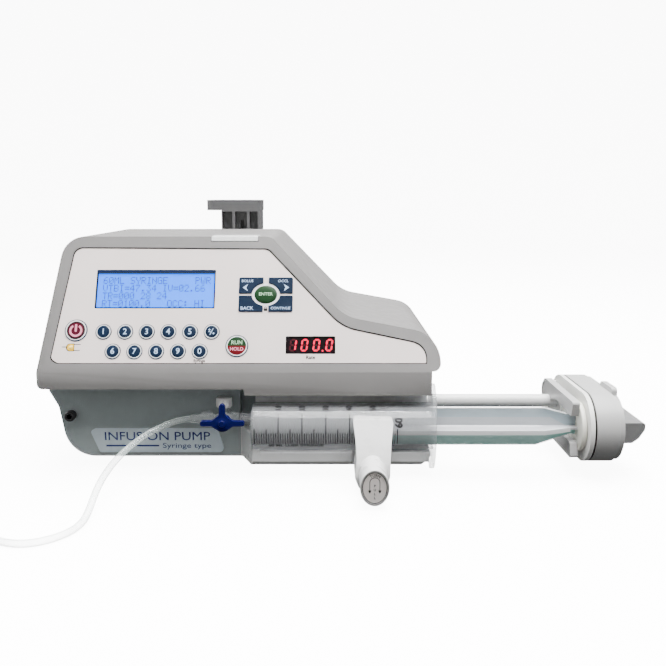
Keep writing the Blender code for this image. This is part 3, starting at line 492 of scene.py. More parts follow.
def written(text, size, bold, length, thick=0.0, lean=0.0):
    """Flat or raised lettering centred on zero, fitted to a length when one is given."""
    curve = bpy.data.curves.new("text", "FONT")
    curve.body = text
    curve.size = size
    curve.align_x = "CENTER"
    curve.align_y = "CENTER"
    curve.extrude = thick / 2
    curve.offset = bold
    curve.shear = lean
    curve.resolution_u = 3
    shape = from_curve(curve)
    if length:
        sides = [vert.co.x for vert in shape.verts]
        bmesh.ops.scale(shape, verts=shape.verts, vec=(length / (max(sides) - min(sides)), 1, 1))
    return shape


def lettering(text, size, frame_name, centre, height, turn=0.0, lean=0.0, bold=0.0, thick=0.06, length=0.0):
    """Raised lettering centred on a point of the frame's plane."""
    shape = written(text, size, bold, length, thick, lean)
    place = Matrix.Translation((*centre, height)) @ Matrix.Rotation(math.radians(turn), 4, "Z")
    bmesh.ops.transform(shape, matrix=FRAMES[frame_name] @ place, verts=shape.verts)
    return shape


def ellipse(centre, across, up, count=48):
    turns = [2 * math.pi * i / count for i in range(count)]
    return [(centre[0] + across * math.cos(a), centre[1] + up * math.sin(a)) for a in turns]


def arc_band(centre, radius, width, first, last, steps=16):
    """The outline of a bent bar from one angle to another, in degrees."""
    angles = [math.radians(first + (last - first) * i / steps) for i in range(steps + 1)]
    outer, inner = radius + width / 2, radius - width / 2
    points = [(centre[0] + outer * math.cos(a), centre[1] + outer * math.sin(a)) for a in angles]
    angles.reverse()
    return points + [(centre[0] + inner * math.cos(a), centre[1] + inner * math.sin(a)) for a in angles]


def show(name, parts, body, replaces=()):
    """One piece from (shape, material) pairs. It rides on a body and may stand for CAD nodes."""
    mesh = bpy.data.meshes.new(name)
    whole = bmesh.new()
    for number, (shape, material) in enumerate(parts):
        for face in shape.faces:
            face.material_index = number
        take_in(whole, shape)
        mesh.materials.append(material)
    bmesh.ops.scale(whole, verts=whole.verts, vec=(MM, MM, MM))
    bmesh.ops.translate(whole, verts=whole.verts, vec=ORIGIN)
    whole.to_mesh(mesh)
    whole.free()
    mesh.shade_smooth()
    mesh.set_sharp_from_angle(angle=math.radians(35))
    made = bpy.data.objects.new(name, mesh)
    bpy.context.scene.collection.objects.link(made)
    even = made.modifiers.new("even_normals", "WEIGHTED_NORMAL")
    even.keep_sharp = True
    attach(made, body)
    if replaces:
        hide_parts(*replaces)
    return made


# The line is made first, with its connector.

def make_line():
    curve = bpy.data.curves.new("infusion_line", "CURVE")
    curve.dimensions = "3D"
    curve.bevel_depth = TUBE_RADIUS * MM
    curve.bevel_resolution = 4
    curve.resolution_u = 4
    curve.use_fill_caps = True
    points = line_points()
    spline = curve.splines.new("NURBS")
    spline.points.add(len(points) - 1)
    for point, place in zip(spline.points, points):
        point.co = (*world(*place), 1)
    spline.order_u = 3
    spline.use_endpoint_u = True
    curve.materials.append(TUBE_CLEAR)
    line = bpy.data.objects.new("infusion_line", curve)
    bpy.context.scene.collection.objects.link(line)
    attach(line, "base")
    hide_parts("line_tube", "line_coil")
    centre = (COIL_CENTRE[0] - COIL_EXIT, -FOOT_HEIGHT + 4.05)
    start = -COIL_CENTRE[1] + 2
    body = spun("Y", centre, [(0, start), (2.6, start), (2.9, start + 0.5), (2.9, start + 9), (0, start + 9)])
    ribs = [pillar("Y", place, 0.55, start + 9.4, start + 18, 8) for place in ellipse(centre, 3.1, 3.1, 12)]
    sleeve = spun("Y", centre, [
        (0, start + 9), (3.1, start + 9), (3.4, start + 9.4), (3.4, start + 19.6), (3.0, start + 20),
        (2.2, start + 20), (2.2, start + 14), (0, start + 14),
    ])
    end = show(
        "line_connector", [(body, CLEAR), (together(sleeve, *ribs), WHITE)], "base",
        ["line_end_connector"],
    )


make_line()


# Casing, housing and cradle.

CASE_OUTLINE = [
    (CASE_LEFT, 50.3, 3.5), (CASE_LEFT, LIP_Z), (-175.8, CASE_TOP, 14), (-40.6, CASE_TOP, 9),
    (7.4, 94.4, 28), (CASE_RIGHT, 83.5, 19.5), (CASE_RIGHT, LIP_Z + 0.7, 5), (HOUSING_RIGHT, LIP_Z + 0.7),
    (HOUSING_RIGHT, 46.3), (CRADLE_LEFT, 46.3), (CRADLE_LEFT, 50.3),
]
PANEL_OUTLINE = [
    (-174.0, 5.8, 4), (-178.6, 8.5, 3), (-169.0, 84.2, 6), (-42.0, 83.3, 6), (6.3, 30.3, 30),
    (59.3, 18.8, 11), (59.4, 5.8, 0.8),
]
LENS_SLOT = [(35.4, 141.6), (38.55, 140.12), (39.66, 142.5), (56, 142.5), (56, 147), (33, 147)]
LENS = [(37.2, 141.2), (38.45, 140.61), (39.47, 142.8), (55.7, 142.8), (55.7, 144.3), (38.6, 144.3)]


def shrunk(outline, centre, amount):
    moved = []
    for x, w, *radius in outline:
        x_in = x + math.copysign(amount, centre[0] - x)
        w_in = w + math.copysign(amount, centre[1] - w)
        moved.append((x_in, w_in, *radius))
    return moved


def before_front(depth):
    """All that lies before the casing's leaning front, or a depth behind it."""
    return slab("LEAN", [(-260, -60), (140, -60), (140, 150), (-260, 150)], depth, 120)


def make_casing():
    hollow = [
        (-182.6, 54), (-172.9, 141, 11), (-43, 141, 6), (5, 91, 21), (65, 80.6, 12), (65, 64), (58, 54),
    ]
    inside = worked(
        slab("Y", rounded(hollow), -157, -3),
        ("cut", before_front(-3)),
    )
    floor_hole = [(-174, 26), (-62, 26), (-62, 38), (54, 38), (54, 150), (-174, 150)]
    case = worked(
        slab("Y", rounded(CASE_OUTLINE), -CASE_DEPTH, 0),
        ("cut", before_front(0)),
        ("soften", (0.9, 3)),
        ("cut", inside),
        ("cut", slab("Z", floor_hole, 40, 60)),
        ("cut", slab("LEAN", rounded(PANEL_OUTLINE, 10), -5, 10)),
        ("cut", slab("X", LENS_SLOT, -80.0, -49.0)),
    )
    show("casing_top", [(case, CASE)], "base", ["upper_casing"])
    loops = [rounded(shrunk(PANEL_OUTLINE, (-60, 15), edge), 10) for edge in (0.03, 0.62)]
    show("panel_border", [(slab("LEAN", loops, -2.2, -0.28), GASKET)], "base")
    lens = worked(slab("X", LENS, -79.7, -49.3), ("soften", (0.3, 2)))
    show("alarm_window", [(lens, LENS_WHITE)], "base", ["alarm_lens"])


HOUSING_OUTLINE = [
    (-186.0, HOUSING_TOP), (-186.0, 44.5, 1), (-180.3, 34.0, 8), (-178.3, 22.5), (-174.6, 0, 20.5),
    (HOUSING_RIGHT, 0, 2), (HOUSING_RIGHT, HOUSING_TOP - 4), (CRADLE_LEFT, HOUSING_TOP - 4),
    (CRADLE_LEFT, HOUSING_TOP),
]
HOUSING_HOLLOW = [(-176.5, 60), (-176.8, 43), (-170.6, 3.5, 17), (59.3, 3.5), (59.3, 60)]


def make_housing():
    hollow = worked(
        slab("Y", rounded(HOUSING_HOLLOW), -157, -HOUSING_FRONT - 3),
        ("cut", block((-64, 0, -5), (80, CRADLE_BACK + 3.3, 70))),
    )
    shell = worked(
        slab("Y", rounded(HOUSING_OUTLINE, 12), -160, -HOUSING_FRONT),
        ("soften", (1.5, 4)),
        ("cut", block((CRADLE_LEFT - 5, 0, -5), (80, CRADLE_BACK + GAP, 60))),
        ("cut", hollow),
        ("cut", pillar("X", (57, 28.4), 5.2, 50, 70)),
        ("cut", pillar("Y", (CLAMP_X, CLAMP_Z), 2.8, -40, -25)),
        ("cut", pillar("Y", (CLAMP_X, CLAMP_Z), 4.0, -98, -35.5)),
        ("cut", block((-150, 150, 12), (-122, 170, 34))),
        ("cut", pillar("Y", (-172, 28.4), 3.0, -30, -10)),
    )
    # The housing's material carries a painted green reflection in its tint.
    show("housing_bottom", [(shell, HOUSING_PAINTED_REFLECTION)], "base", ["lower_housing"])
    label = [(-160.1, 17.4, 2), (-156.5, 19.4, 2), (-76, 19.4, 2), (-71.5, 2.9, 3), (-154.3, 2.9, 2)]
    front = -HOUSING_FRONT
    ink = together(
        lettering("INFUSION PUMP", 8.2, "Y", (-116.2, 13.7), front + 0.93, length=69.5),
        slab("Y", [(-150, 7.0), (-115, 7.0), (-115, 8.0), (-150, 8.0)], front + 0.88, front + 0.96),
        lettering("Syringe type", 4.8, "Y", (-96.6, 7.4), front + 0.93, length=32),
    )
    plate = worked(slab("Y", rounded(label, 6), front + GAP, front + 0.9), ("soften", (0.15, 2)))
    show("label", [(plate, LABEL), (ink, LABEL_INK)], "base", ["label_plate"])
    socket = spun("Y", (-172, 28.4), [
        (1.7, front + 5.4), (3.0, front + 5.4), (3.3, front + 5.1), (3.3, front + 0.3), (2.7, front + 0.3),
        (2.7, front - 5.6), (1.6, front - 5.6), (1.6, front + 4.8),
    ])
    show("lead_socket", [(socket, BLACK)], "base", ["side_socket"])
    for name, x in (("foot_left", -145.0), ("foot_right", 44.0)):
        low = -FOOT_HEIGHT
        grip = [block((x - 9, 56 + 8 * i, low - 1), (x + 9, 57 + 8 * i, low + 0.8)) for i in range(12)]
        foot = block((x - 8, 52, low), (x + 8, 148, -GAP))
        foot = worked(foot, ("soften", (1.6, 3)), ("cut", together(*grip)))
        show(f"{name}_rubber", [(foot, RUBBER)], "base", [name])
    inlet = worked(
        block((-149.5, 152, 12.5), (-122.5, 162.5, 33.5)), ("soften", (1.0, 3)),
        ("cut", block((-146.5, 156, 15.5), (-125.5, 166, 30.5))),
    )
    pins = [block((x - 1, 155, 21), (x + 1, 161, 25)) for x in (-143, -136, -129)]
    pins = worked(together(*pins), ("soften", 0.3))
    show("mains_socket", [(inlet, BLACK), (pins, STEEL)], "base", ["mains_inlet"])


def make_cradle():
    reach = BARREL_RADIUS + GAP
    lip_top = 9.2
    first = math.acos((SYRINGE_Z - lip_top) / reach)
    arc = []
    for step in range(25):
        angle = -first + (first + math.pi / 2) * step / 24
        arc.append((SYRINGE_Y + reach * math.sin(angle), SYRINGE_Z - reach * math.cos(angle)))
    section = [
        (3, 0), (0, 3), (0, lip_top - 0.6), (0.6, lip_top), *arc, (SYRINGE_Y + reach, CRADLE_TOP),
        (CRADLE_BACK, CRADLE_TOP), (CRADLE_BACK, 0),
    ]
    dam = [(-61.6, CRADLE_BACK), (-61.6, 20.4), (-59.6, 19.2), (-51.5, 0), (-47, 0), (-47, CRADLE_BACK)]
    foot = slab("X", [(-2, -2), (5, -2), (0, 3), (-2, 5)], -64, -40)
    corner = slab("Y", [(56, -1), (64, -1), (64, 9)], -8, 2)
    trough = pillar("X", (SYRINGE_Y, SYRINGE_Z), reach, -52.4, -40, 96)
    shape = worked(
        slab("X", section, -51.5, HOUSING_RIGHT),
        ("cut", corner),
        ("join", worked(slab("Z", dam, 0, 21), ("cut", trough), ("cut", foot))),
        ("soften", (0.9, 3)),
        ("cut", block((12.2, -1, 2.0), (36.5, 6, 12))),
        ("cut", pillar("Y", (CLAMP_X, CLAMP_Z), 2.55, -40, 5)),
    )
    show("cradle", [(shape, CRADLE)], "base", ["syringe_cradle"])


make_casing()
make_housing()
make_cradle()


# Front panel. Heights on the leaning plane are from the casing's front, and the film's face is at -0.5.

FACE = -0.5
LCD_WINDOW = (-153.1, 42.4, -76.05, 68.6)
RATE_WINDOW = (-30.0, 12.4, 1.4, 23.9)
KEY_PITCH = 13.76
KEY_ROWS = (
    (-146.0, 26.8, ("1", "2", "3", "4", "5", "point")),
    (-139.3, 13.95, ("6", "7", "8", "9", "0")),
)
POWER_KEY, RUN_KEY = (-163.5, 27.7), (-60.9, 17.5)
MAINS_LAMP = (-166.0, 16.6)
PAD_CENTRE, PAD_RING = (-43.3, 51.7), (9.2, 7.8)
PAD_OUTER, PAD_INNER = (17.3, 11.5), (1.8, 0.8)
ENTER_RADII = (7.2, 5.9)
PADS = {"key_left": (-1, 1), "key_right": (1, 1), "key_back": (-1, -1), "key_continue": (1, -1)}


def box_outline(x0, w0, x1, w1, radius=0.0):
    return rounded([(x0, w0, radius), (x1, w0, radius), (x1, w1, radius), (x0, w1, radius)], 4)


def pad_outline(side_x, side_w, grow=0.0):
    """One corner pad: a rectangle with the oval's arc cut from its inner corner."""
    across, up = PAD_RING[0] - grow, PAD_RING[1] - grow
    near_x, near_w = PAD_INNER[0] - grow, PAD_INNER[1] - grow
    far_x, far_w = PAD_OUTER[0] + grow, PAD_OUTER[1] + grow
    first, last = math.asin(near_w / up), math.acos(near_x / across)
    points = [(near_x, far_w)] + [
        (far_x - 1 + math.sin(a), far_w - 1 + math.cos(a)) for a in [math.pi / 2 * i / 5 for i in range(6)]
    ] + [(far_x, near_w)]
    for step in range(17):
        angle = first + (last - first) * step / 16
        points.append((across * math.cos(angle), up * math.sin(angle)))
    return [(PAD_CENTRE[0] + side_x * x, PAD_CENTRE[1] + side_w * w) for x, w in points]


def make_panel():
    places = [(x + KEY_PITCH * i, w) for x, w, row in KEY_ROWS for i in range(len(row))]
    holes = [pillar("LEAN", place, 5.15, -6, 2) for place in places]
    holes += [pillar("LEAN", place, 7.3, -6, 2, 72) for place in (POWER_KEY, RUN_KEY)]
    holes.append(pillar("LEAN", MAINS_LAMP, 1.45, -6, 2, 32))
    holes.append(slab("LEAN", ellipse(PAD_CENTRE, ENTER_RADII[0] + 0.12, ENTER_RADII[1] + 0.12), -6, 2))
    holes += [slab("LEAN", pad_outline(*sides, grow=0.12), -6, 2) for sides in PADS.values()]
    for x0, w0, x1, w1 in (LCD_WINDOW, RATE_WINDOW):
        holes.append(slab("LEAN", box_outline(x0 - 0.05, w0 - 0.05, x1 + 0.05, w1 + 0.05), -6, 2))
    outline = rounded(shrunk(PANEL_OUTLINE, (-60, 15), 0.66), 10)
    film = worked(slab("LEAN", outline, -2.5, FACE), ("cut", together(*holes)))
    rings = [ellipse(PAD_CENTRE, 8.9, 7.5, 72), ellipse(PAD_CENTRE, 7.34, 6.04, 72)]
    oval = slab("LEAN", rings, FACE - 0.02, FACE + 0.06)
    x, w = PAD_CENTRE[0], PAD_CENTRE[1] - 9.4
    padlock = together(
        slab("LEAN", box_outline(x - 1.2, w - 1.7, x + 1.2, w + 0.2, 0.3), FACE, FACE + 0.05),
        slab("LEAN", arc_band((x, w + 0.3), 0.75, 0.42, 0, 180, 8), FACE, FACE + 0.05),
    )
    x, w = MAINS_LAMP
    d_shape = [(x - 1.0, w - 2.5), (x + 2.2, w - 2.5), (x + 2.2, w + 2.5), (x - 1.0, w + 2.5)] + [
        (x - 1.0 - 2.0 * math.sin(a), w + 2.5 * math.cos(a)) for a in [math.pi * i / 10 for i in range(1, 10)]
    ]
    inner = [(x + (px - x) * 0.82, w + (pw - w) * 0.84) for px, pw in d_shape]
    circle = ellipse(MAINS_LAMP, 1.45, 1.45, 24)
    plug = slab("LEAN", [inner, circle], FACE, FACE + 0.04)
    plug_lines = together(
        slab("LEAN", [d_shape, inner], FACE, FACE + 0.05),
        slab("LEAN", box_outline(x - 5.6, w + 0.05, x - 3.0, w + 0.45), FACE, FACE + 0.05),
        slab("LEAN", box_outline(x + 2.2, w + 1.75, x + 6.2, w + 2.2), FACE, FACE + 0.05),
        slab("LEAN", box_outline(x + 2.2, w - 2.2, x + 5.9, w - 1.75), FACE, FACE + 0.05),
    )
    words = together(
        lettering("Rate", 3.2, "LEAN", (-14.2, 10.0), FACE + 0.02, bold=0.09),
        lettering("Syringe", 2.5, "LEAN", (-84.3, 7.8), FACE + 0.02, bold=0.08),
    )
    show("panel_face", [
        (film, PANEL), (oval, KEY_WHITE), (together(padlock, plug_lines, words), PRINT_DARK),
        (plug, PRINT_YELLOW),
    ], "base", ["front_panel"])
    lamp = spun("LEAN", MAINS_LAMP, [(0, -0.05), (0.8, -0.12), (1.3, -0.45), (1.3, -3.9), (0, -3.9)], 24)
    show("lamp_lens", [(lamp, LAMP)], "base", ["mains_lamp"])


# Five columns by seven rows of dots for each character, as one number per row.
DOTS = {
    "0": (14, 17, 19, 21, 25, 17, 14), "1": (4, 12, 4, 4, 4, 4, 14), "2": (14, 17, 1, 2, 4, 8, 31),
    "3": (31, 2, 4, 2, 1, 17, 14), "4": (2, 6, 10, 18, 31, 2, 2), "6": (6, 8, 16, 30, 17, 17, 14),
    "7": (31, 1, 2, 4, 8, 8, 8), "8": (14, 17, 17, 14, 17, 17, 14), "A": (14, 17, 17, 17, 31, 17, 17),
    "B": (30, 17, 17, 30, 17, 17, 30), "C": (14, 17, 16, 16, 16, 17, 14), "D": (28, 18, 17, 17, 17, 18, 28),
    "E": (31, 16, 16, 30, 16, 16, 31), "G": (14, 17, 16, 23, 17, 17, 15), "H": (17, 17, 17, 31, 17, 17, 17),
    "I": (14, 4, 4, 4, 4, 4, 14), "L": (16, 16, 16, 16, 16, 16, 31), "M": (17, 27, 21, 21, 17, 17, 17),
    "N": (17, 17, 25, 21, 19, 17, 17), "O": (14, 17, 17, 17, 17, 17, 14), "P": (30, 17, 17, 30, 16, 16, 16),
    "R": (30, 17, 17, 30, 20, 18, 17), "S": (15, 16, 16, 14, 1, 1, 30), "T": (31, 4, 4, 4, 4, 4, 4),
    "V": (17, 17, 17, 17, 17, 10, 4), "W": (17, 17, 17, 21, 21, 21, 10), "Y": (17, 17, 17, 10, 4, 4, 4),
    "=": (0, 0, 31, 0, 31, 0, 0), ":": (0, 12, 12, 0, 12, 12, 0), ".": (0, 0, 0, 0, 0, 12, 12),
}
LCD_ROWS = ("60ML SYRINGE     PWR", "VTBI=47.34 IV=02.66", "TR=000 28 24", "RT=0100.0   OCC: HI")


def dots(height):
    """The characters of the LCD as small squares lying on it."""
    shape = bmesh.new()
    for row, text in enumerate(LCD_ROWS):
        for column, letter in enumerate(text):
            for line, bits in enumerate(DOTS.get(letter, ())):
                for place in range(5):
                    if not bits >> (4 - place) & 1:
                        continue
                    x = -148.7 + column * 3.5 + place * 0.6
                    w = 63.9 - row * 5.24 - line * 0.68
                    corners = [(x, w - 0.6), (x + 0.52, w - 0.6), (x + 0.52, w), (x, w)]
                    shape.faces.new([shape.verts.new(FRAMES["LEAN"] @ Vector((*c, height))) for c in corners])
    return shape


def seven_segment(x, w, lit_segments, width=4.5, tall=8.2, bar=1.15):
    """One slanted digit: (lit shape, unlit shape). Segments are a to g."""
    half_w, half_t, gap = width / 2 - bar / 2, tall / 2 - bar / 2, 0.14
    ends = {
        "a": ((-half_w, half_t), (half_w, half_t)), "b": ((half_w, half_t), (half_w, 0)),
        "c": ((half_w, 0), (half_w, -half_t)), "d": ((-half_w, -half_t), (half_w, -half_t)),
        "e": ((-half_w, -half_t), (-half_w, 0)), "f": ((-half_w, 0), (-half_w, half_t)),
        "g": ((-half_w, 0), (half_w, 0)),
    }
    shapes = {True: [], False: []}
    for name, (start, end) in ends.items():
        a, b = Vector(start), Vector(end)
        along = (b - a).normalized()
        side = Vector((-along.y, along.x)) * bar / 2
        a, b = a + along * gap, b - along * gap
        tip = along * bar / 2
        points = [a, a + tip + side, b - tip + side, b, b - tip - side, a + tip - side]
        slanted = [(x + p.x + 0.13 * p.y, w + p.y) for p in points]
        lit_one = name in lit_segments
        height = FACE - 0.42 if lit_one else FACE - 0.46
        shapes[lit_one].append(slab("LEAN", slanted, height - 0.04, height))
    return shapes[True], shapes[False]


def make_windows():
    x0, w0, x1, w1 = LCD_WINDOW
    # The bezel's opening and the lit glass stop about 2 mm short of the window's top, so the dark band across
    # the top is painted shadow from the recess's upper wall; the rest is the bezel's own dark frame.
    bezel_with_painted_shadow = slab("LEAN", [
        box_outline(x0, w0, x1, w1, 0.8), box_outline(x0 + 0.95, w0 + 0.75, x1 - 0.75, w1 - 2.3, 0.4),
    ], -2.2, FACE + 0.02)
    glass = slab("LEAN", box_outline(x0 + 0.5, w0 + 0.5, x1 - 0.5, w1 - 2.1), -2.4, FACE - 0.75)
    parts = [(bezel_with_painted_shadow, BEZEL), (glass, LCD), (dots(FACE - 0.72), LCD_DOT)]
    show("display_blue", parts, "base", ["lcd_window"])
    x0, w0, x1, w1 = RATE_WINDOW
    frame_shape = slab("LEAN", [
        box_outline(x0, w0, x1, w1, 0.7), box_outline(x0 + 0.5, w0 + 0.5, x1 - 0.5, w1 - 0.5, 0.3),
    ], -2.3, FACE + 0.02)
    back = slab("LEAN", box_outline(x0 + 0.4, w0 + 0.4, x1 - 0.4, w1 - 0.4), -2.4, FACE - 0.5)
    lit_parts, dim_parts = [], []
    for x, segments in ((-25.4, "bc"), (-18.1, "abcdef"), (-10.5, "abcdef"), (-2.4, "abcdef")):
        on, off = seven_segment(x, 18.2, segments)
        lit_parts += on
        dim_parts += off
    lit_parts.append(slab("LEAN", ellipse((-6.6, 14.5), 0.62, 0.62, 16), FACE - 0.46, FACE - 0.42))
    show("display_rate", [
        (together(frame_shape, back), LED_BACK), (together(*dim_parts), LED_OFF),
        (together(*lit_parts), LED_ON),
    ], "base", ["rate_window"])


def domed_key(centre, disc, ring_out, edge, rise):
    """(dark rim, white ring, domed disc) of a round key."""
    rim = spun("LEAN", centre, [
        (ring_out - 0.02, -0.12), (edge - 0.1, -0.12), (edge, -0.22), (edge, -3.0), (ring_out - 0.02, -3.0),
    ])
    ring_shape = spun("LEAN", centre, [
        (disc - 0.02, -0.1), (disc + 0.1, 0.02), (ring_out - 0.12, 0.02), (ring_out, -0.1), (ring_out, -3.0),
        (disc - 0.02, -3.0),
    ])
    dome = spun("LEAN", centre, [
        (0, rise), (disc * 0.45, rise - 0.01), (disc * 0.7, rise - 0.05), (disc * 0.88, rise - 0.14),
        (disc - 0.04, rise - 0.30), (disc - 0.02, -3.4), (0, -3.4),
    ])
    return rim, ring_shape, dome


def make_round_keys():
    for first_x, w, labels in KEY_ROWS:
        for i, label in enumerate(labels):
            centre = (first_x + KEY_PITCH * i, w)
            rim, ring_shape, dome = domed_key(centre, 3.95, 4.55, 5.05, 0.36)
            if label == "point":
                x, w0 = centre
                stroke = [(x - 1.2, w0 - 2.1), (x - 0.7, w0 - 2.1), (x + 1.3, w0 + 2.1), (x + 0.8, w0 + 2.1)]
                sign = together(
                    slab("LEAN", box_outline(x - 2.1, w0 + 1.0, x - 0.5, w0 + 1.4), 0.32, 0.42),
                    slab("LEAN", box_outline(x - 1.5, w0 + 0.45, x - 1.1, w0 + 1.95), 0.32, 0.42),
                    slab("LEAN", box_outline(x - 2.1, w0 - 0.35, x - 0.5, w0 + 0.05), 0.30, 0.42),
                    slab("LEAN", stroke, 0.30, 0.42),
                    slab("LEAN", ellipse((x + 1.3, w0 - 1.2), 0.6, 0.6, 16), 0.30, 0.42),
                )
            else:
                place = (centre[0], centre[1] - 0.1)
                sign = lettering(label, 5.4, "LEAN", place, 0.385, bold=0.07, thick=0.09)
            show(f"key_cap_{label}", [
                (rim, NAVY_RIM), (ring_shape, KEY_WHITE), (dome, NAVY), (sign, LEGEND),
            ], f"key_{label}", [f"key_{label}"])
    rim, ring_shape, dome = domed_key(POWER_KEY, 5.85, 6.6, 7.2, 0.36)
    x, w = POWER_KEY
    icon = together(
        slab("LEAN", arc_band((x, w - 0.25), 3.5, 1.35, 122, 418, 40), 0.29, 0.39),
        slab("LEAN", box_outline(x - 0.72, w - 1.1, x + 0.72, w + 4.0, 0.6), 0.29, 0.39),
    )
    dark = slab("LEAN", [ellipse((x, w), 5.7, 5.7, 56), ellipse((x, w), 4.6, 4.6, 56)], 0.05, 0.235)
    show("key_cap_power", [
        (rim, NAVY_RIM), (ring_shape, KEY_WHITE), (dome, KEY_RED), (icon, KEY_PINK), (dark, PRINT_DARK),
    ], "key_power", ["key_power"])
    rim, ring_shape, dome = domed_key(RUN_KEY, 5.9, 6.6, 7.2, 0.36)
    x, w = RUN_KEY
    upper = worked(dome.copy(), ("cut", lean_half(x, w, -1)))
    lower = worked(dome, ("cut", lean_half(x, w, 1)))
    words = lettering("RUN", 3.5, "LEAN", (x, w + 2.0), 0.36, bold=0.09, thick=0.1)
    hold = lettering("HOLD", 3.1, "LEAN", (x, w - 2.2), 0.35, bold=0.09, thick=0.1)
    show("key_cap_run_hold", [
        (rim, NAVY_RIM), (ring_shape, KEY_WHITE), (upper, KEY_GREEN), (lower, KEY_HOLD),
        (words, LEGEND_GREEN), (hold, KEY_PINK),
    ], "key_run_hold", ["key_run_hold"])


def lean_half(x, w, side):
    """A block on one side of a level line through a point of the panel."""
    low, high = (w, w + 9) if side > 0 else (w - 9, w)
    return slab("LEAN", [(x - 9, low), (x + 9, low), (x + 9, high), (x - 9, high)], -9, 9)


def make_pads():
    chevron = [(-1.6, 0), (1.9, 2.5), (0.75, 0), (1.9, -2.5)]
    words = {
        "key_left": ("BOLUS", (-12.0, 9.0), 2.5), "key_right": ("OCCL", (11.0, 9.0), 2.5),
        "key_back": ("BACK", (-12.0, -9.4), 3.2), "key_continue": ("CONTINUE", (9.5, -9.4), 2.45),
    }
    for name, sides in PADS.items():
        pad = worked(slab("LEAN", pad_outline(*sides), -3.4, 0.12), ("soften", 0.2))
        text, (x, w), size = words[name]
        print_parts = [lettering(
            text, size, "LEAN", (PAD_CENTRE[0] + x, PAD_CENTRE[1] + w), 0.13, bold=0.025, thick=0.06,
            lean=0.0 if sides[0] < 0 else 0.15,
        )]
        if sides[1] > 0:
            x, w = PAD_CENTRE[0] + sides[0] * 13.4, PAD_CENTRE[1] + 4.6
            print_parts.append(slab("LEAN", [(x - sides[0] * px, w + pw) for px, pw in chevron], 0.1, 0.18))
        show(f"{name}_cap", [(pad, NAVY), (together(*print_parts), LEGEND)], name, [name])
    rise = [(0, 0.62), (0.5, 0.58), (0.78, 0.45), (0.93, 0.22), (1.0, -0.1)]
    dome = spun("LEAN", (0, 0), [*rise, (1.0, -3.4), (0, -3.4)])
    to_plane = FRAMES["LEAN"].inverted()
    bmesh.ops.transform(dome, matrix=to_plane, verts=dome.verts)
    bmesh.ops.scale(dome, verts=dome.verts, vec=(*ENTER_RADII, 1))
    bmesh.ops.transform(
        dome, matrix=FRAMES["LEAN"] @ Matrix.Translation((*PAD_CENTRE, 0)), verts=dome.verts
    )
    word = lettering("ENTER", 3.0, "LEAN", PAD_CENTRE, 0.58, bold=0.06, thick=0.12)
    show("key_enter_cap", [(dome, KEY_GREEN), (word, LEGEND_GREEN)], "key_enter", ["key_enter"])


make_panel()
make_windows()
make_round_keys()
make_pads()


# Syringe, tap and their scale.

def around_barrel(x, angle, lift=0.06):
    reach = BARREL_RADIUS + lift
    return Vector((x, SYRINGE_Y - reach * math.cos(angle), SYRINGE_Z + reach * math.sin(angle)))


def printed_line(shape, x, first, last, width):
    steps = max(2, round(abs(last - first) / 5))
    previous = None
    for step in range(steps + 1):
        angle = math.radians(first + (last - first) * step / steps)
        pair = [shape.verts.new(around_barrel(x + side * width / 2, angle)) for side in (-1, 1)]
        if previous:
            shape.faces.new([previous[0], previous[1], pair[1], pair[0]])
        previous = pair


def printed_text(text, size, x, middle, across, bold, length=0.0):
    """Flat lettering bent round the barrel: along it, or across it with its top towards the tap."""
    shape = written(text, size, bold, length)
    bmesh.ops.subdivide_edges(shape, edges=[e for e in shape.edges if e.calc_length() > 0.8], cuts=2)
    bmesh.ops.triangulate(shape, faces=shape.faces)
    for vert in shape.verts:
        along, up = (-vert.co.y, vert.co.x) if across else (vert.co.x, vert.co.y)
        vert.co = around_barrel(x + along, math.radians(middle) + up / BARREL_RADIUS)
    return shape


def barrel_print():
    marks = bmesh.new()
    for ml in range(61):
        x = -49.5 + 1.5 * ml
        top = 44 if ml % 10 == 0 and 0 < ml < 60 else 9 if ml % 5 == 0 else -0.9
        printed_line(marks, x, -30.0, top, 0.62 if ml % 5 == 0 else 0.46)
    texts = [printed_text(str(ml), 5.2, -49.5 + 1.5 * ml, 62, True, 0.16) for ml in range(10, 60, 10)]
    texts.append(printed_text("60", 6.4, 41.6, 23.4, True, 0.3))
    texts.append(printed_text("60 ML LUER SYRINGE", 3.3, -23.4, -35.5, False, 0.12, 35.0))
    return together(marks, *texts)


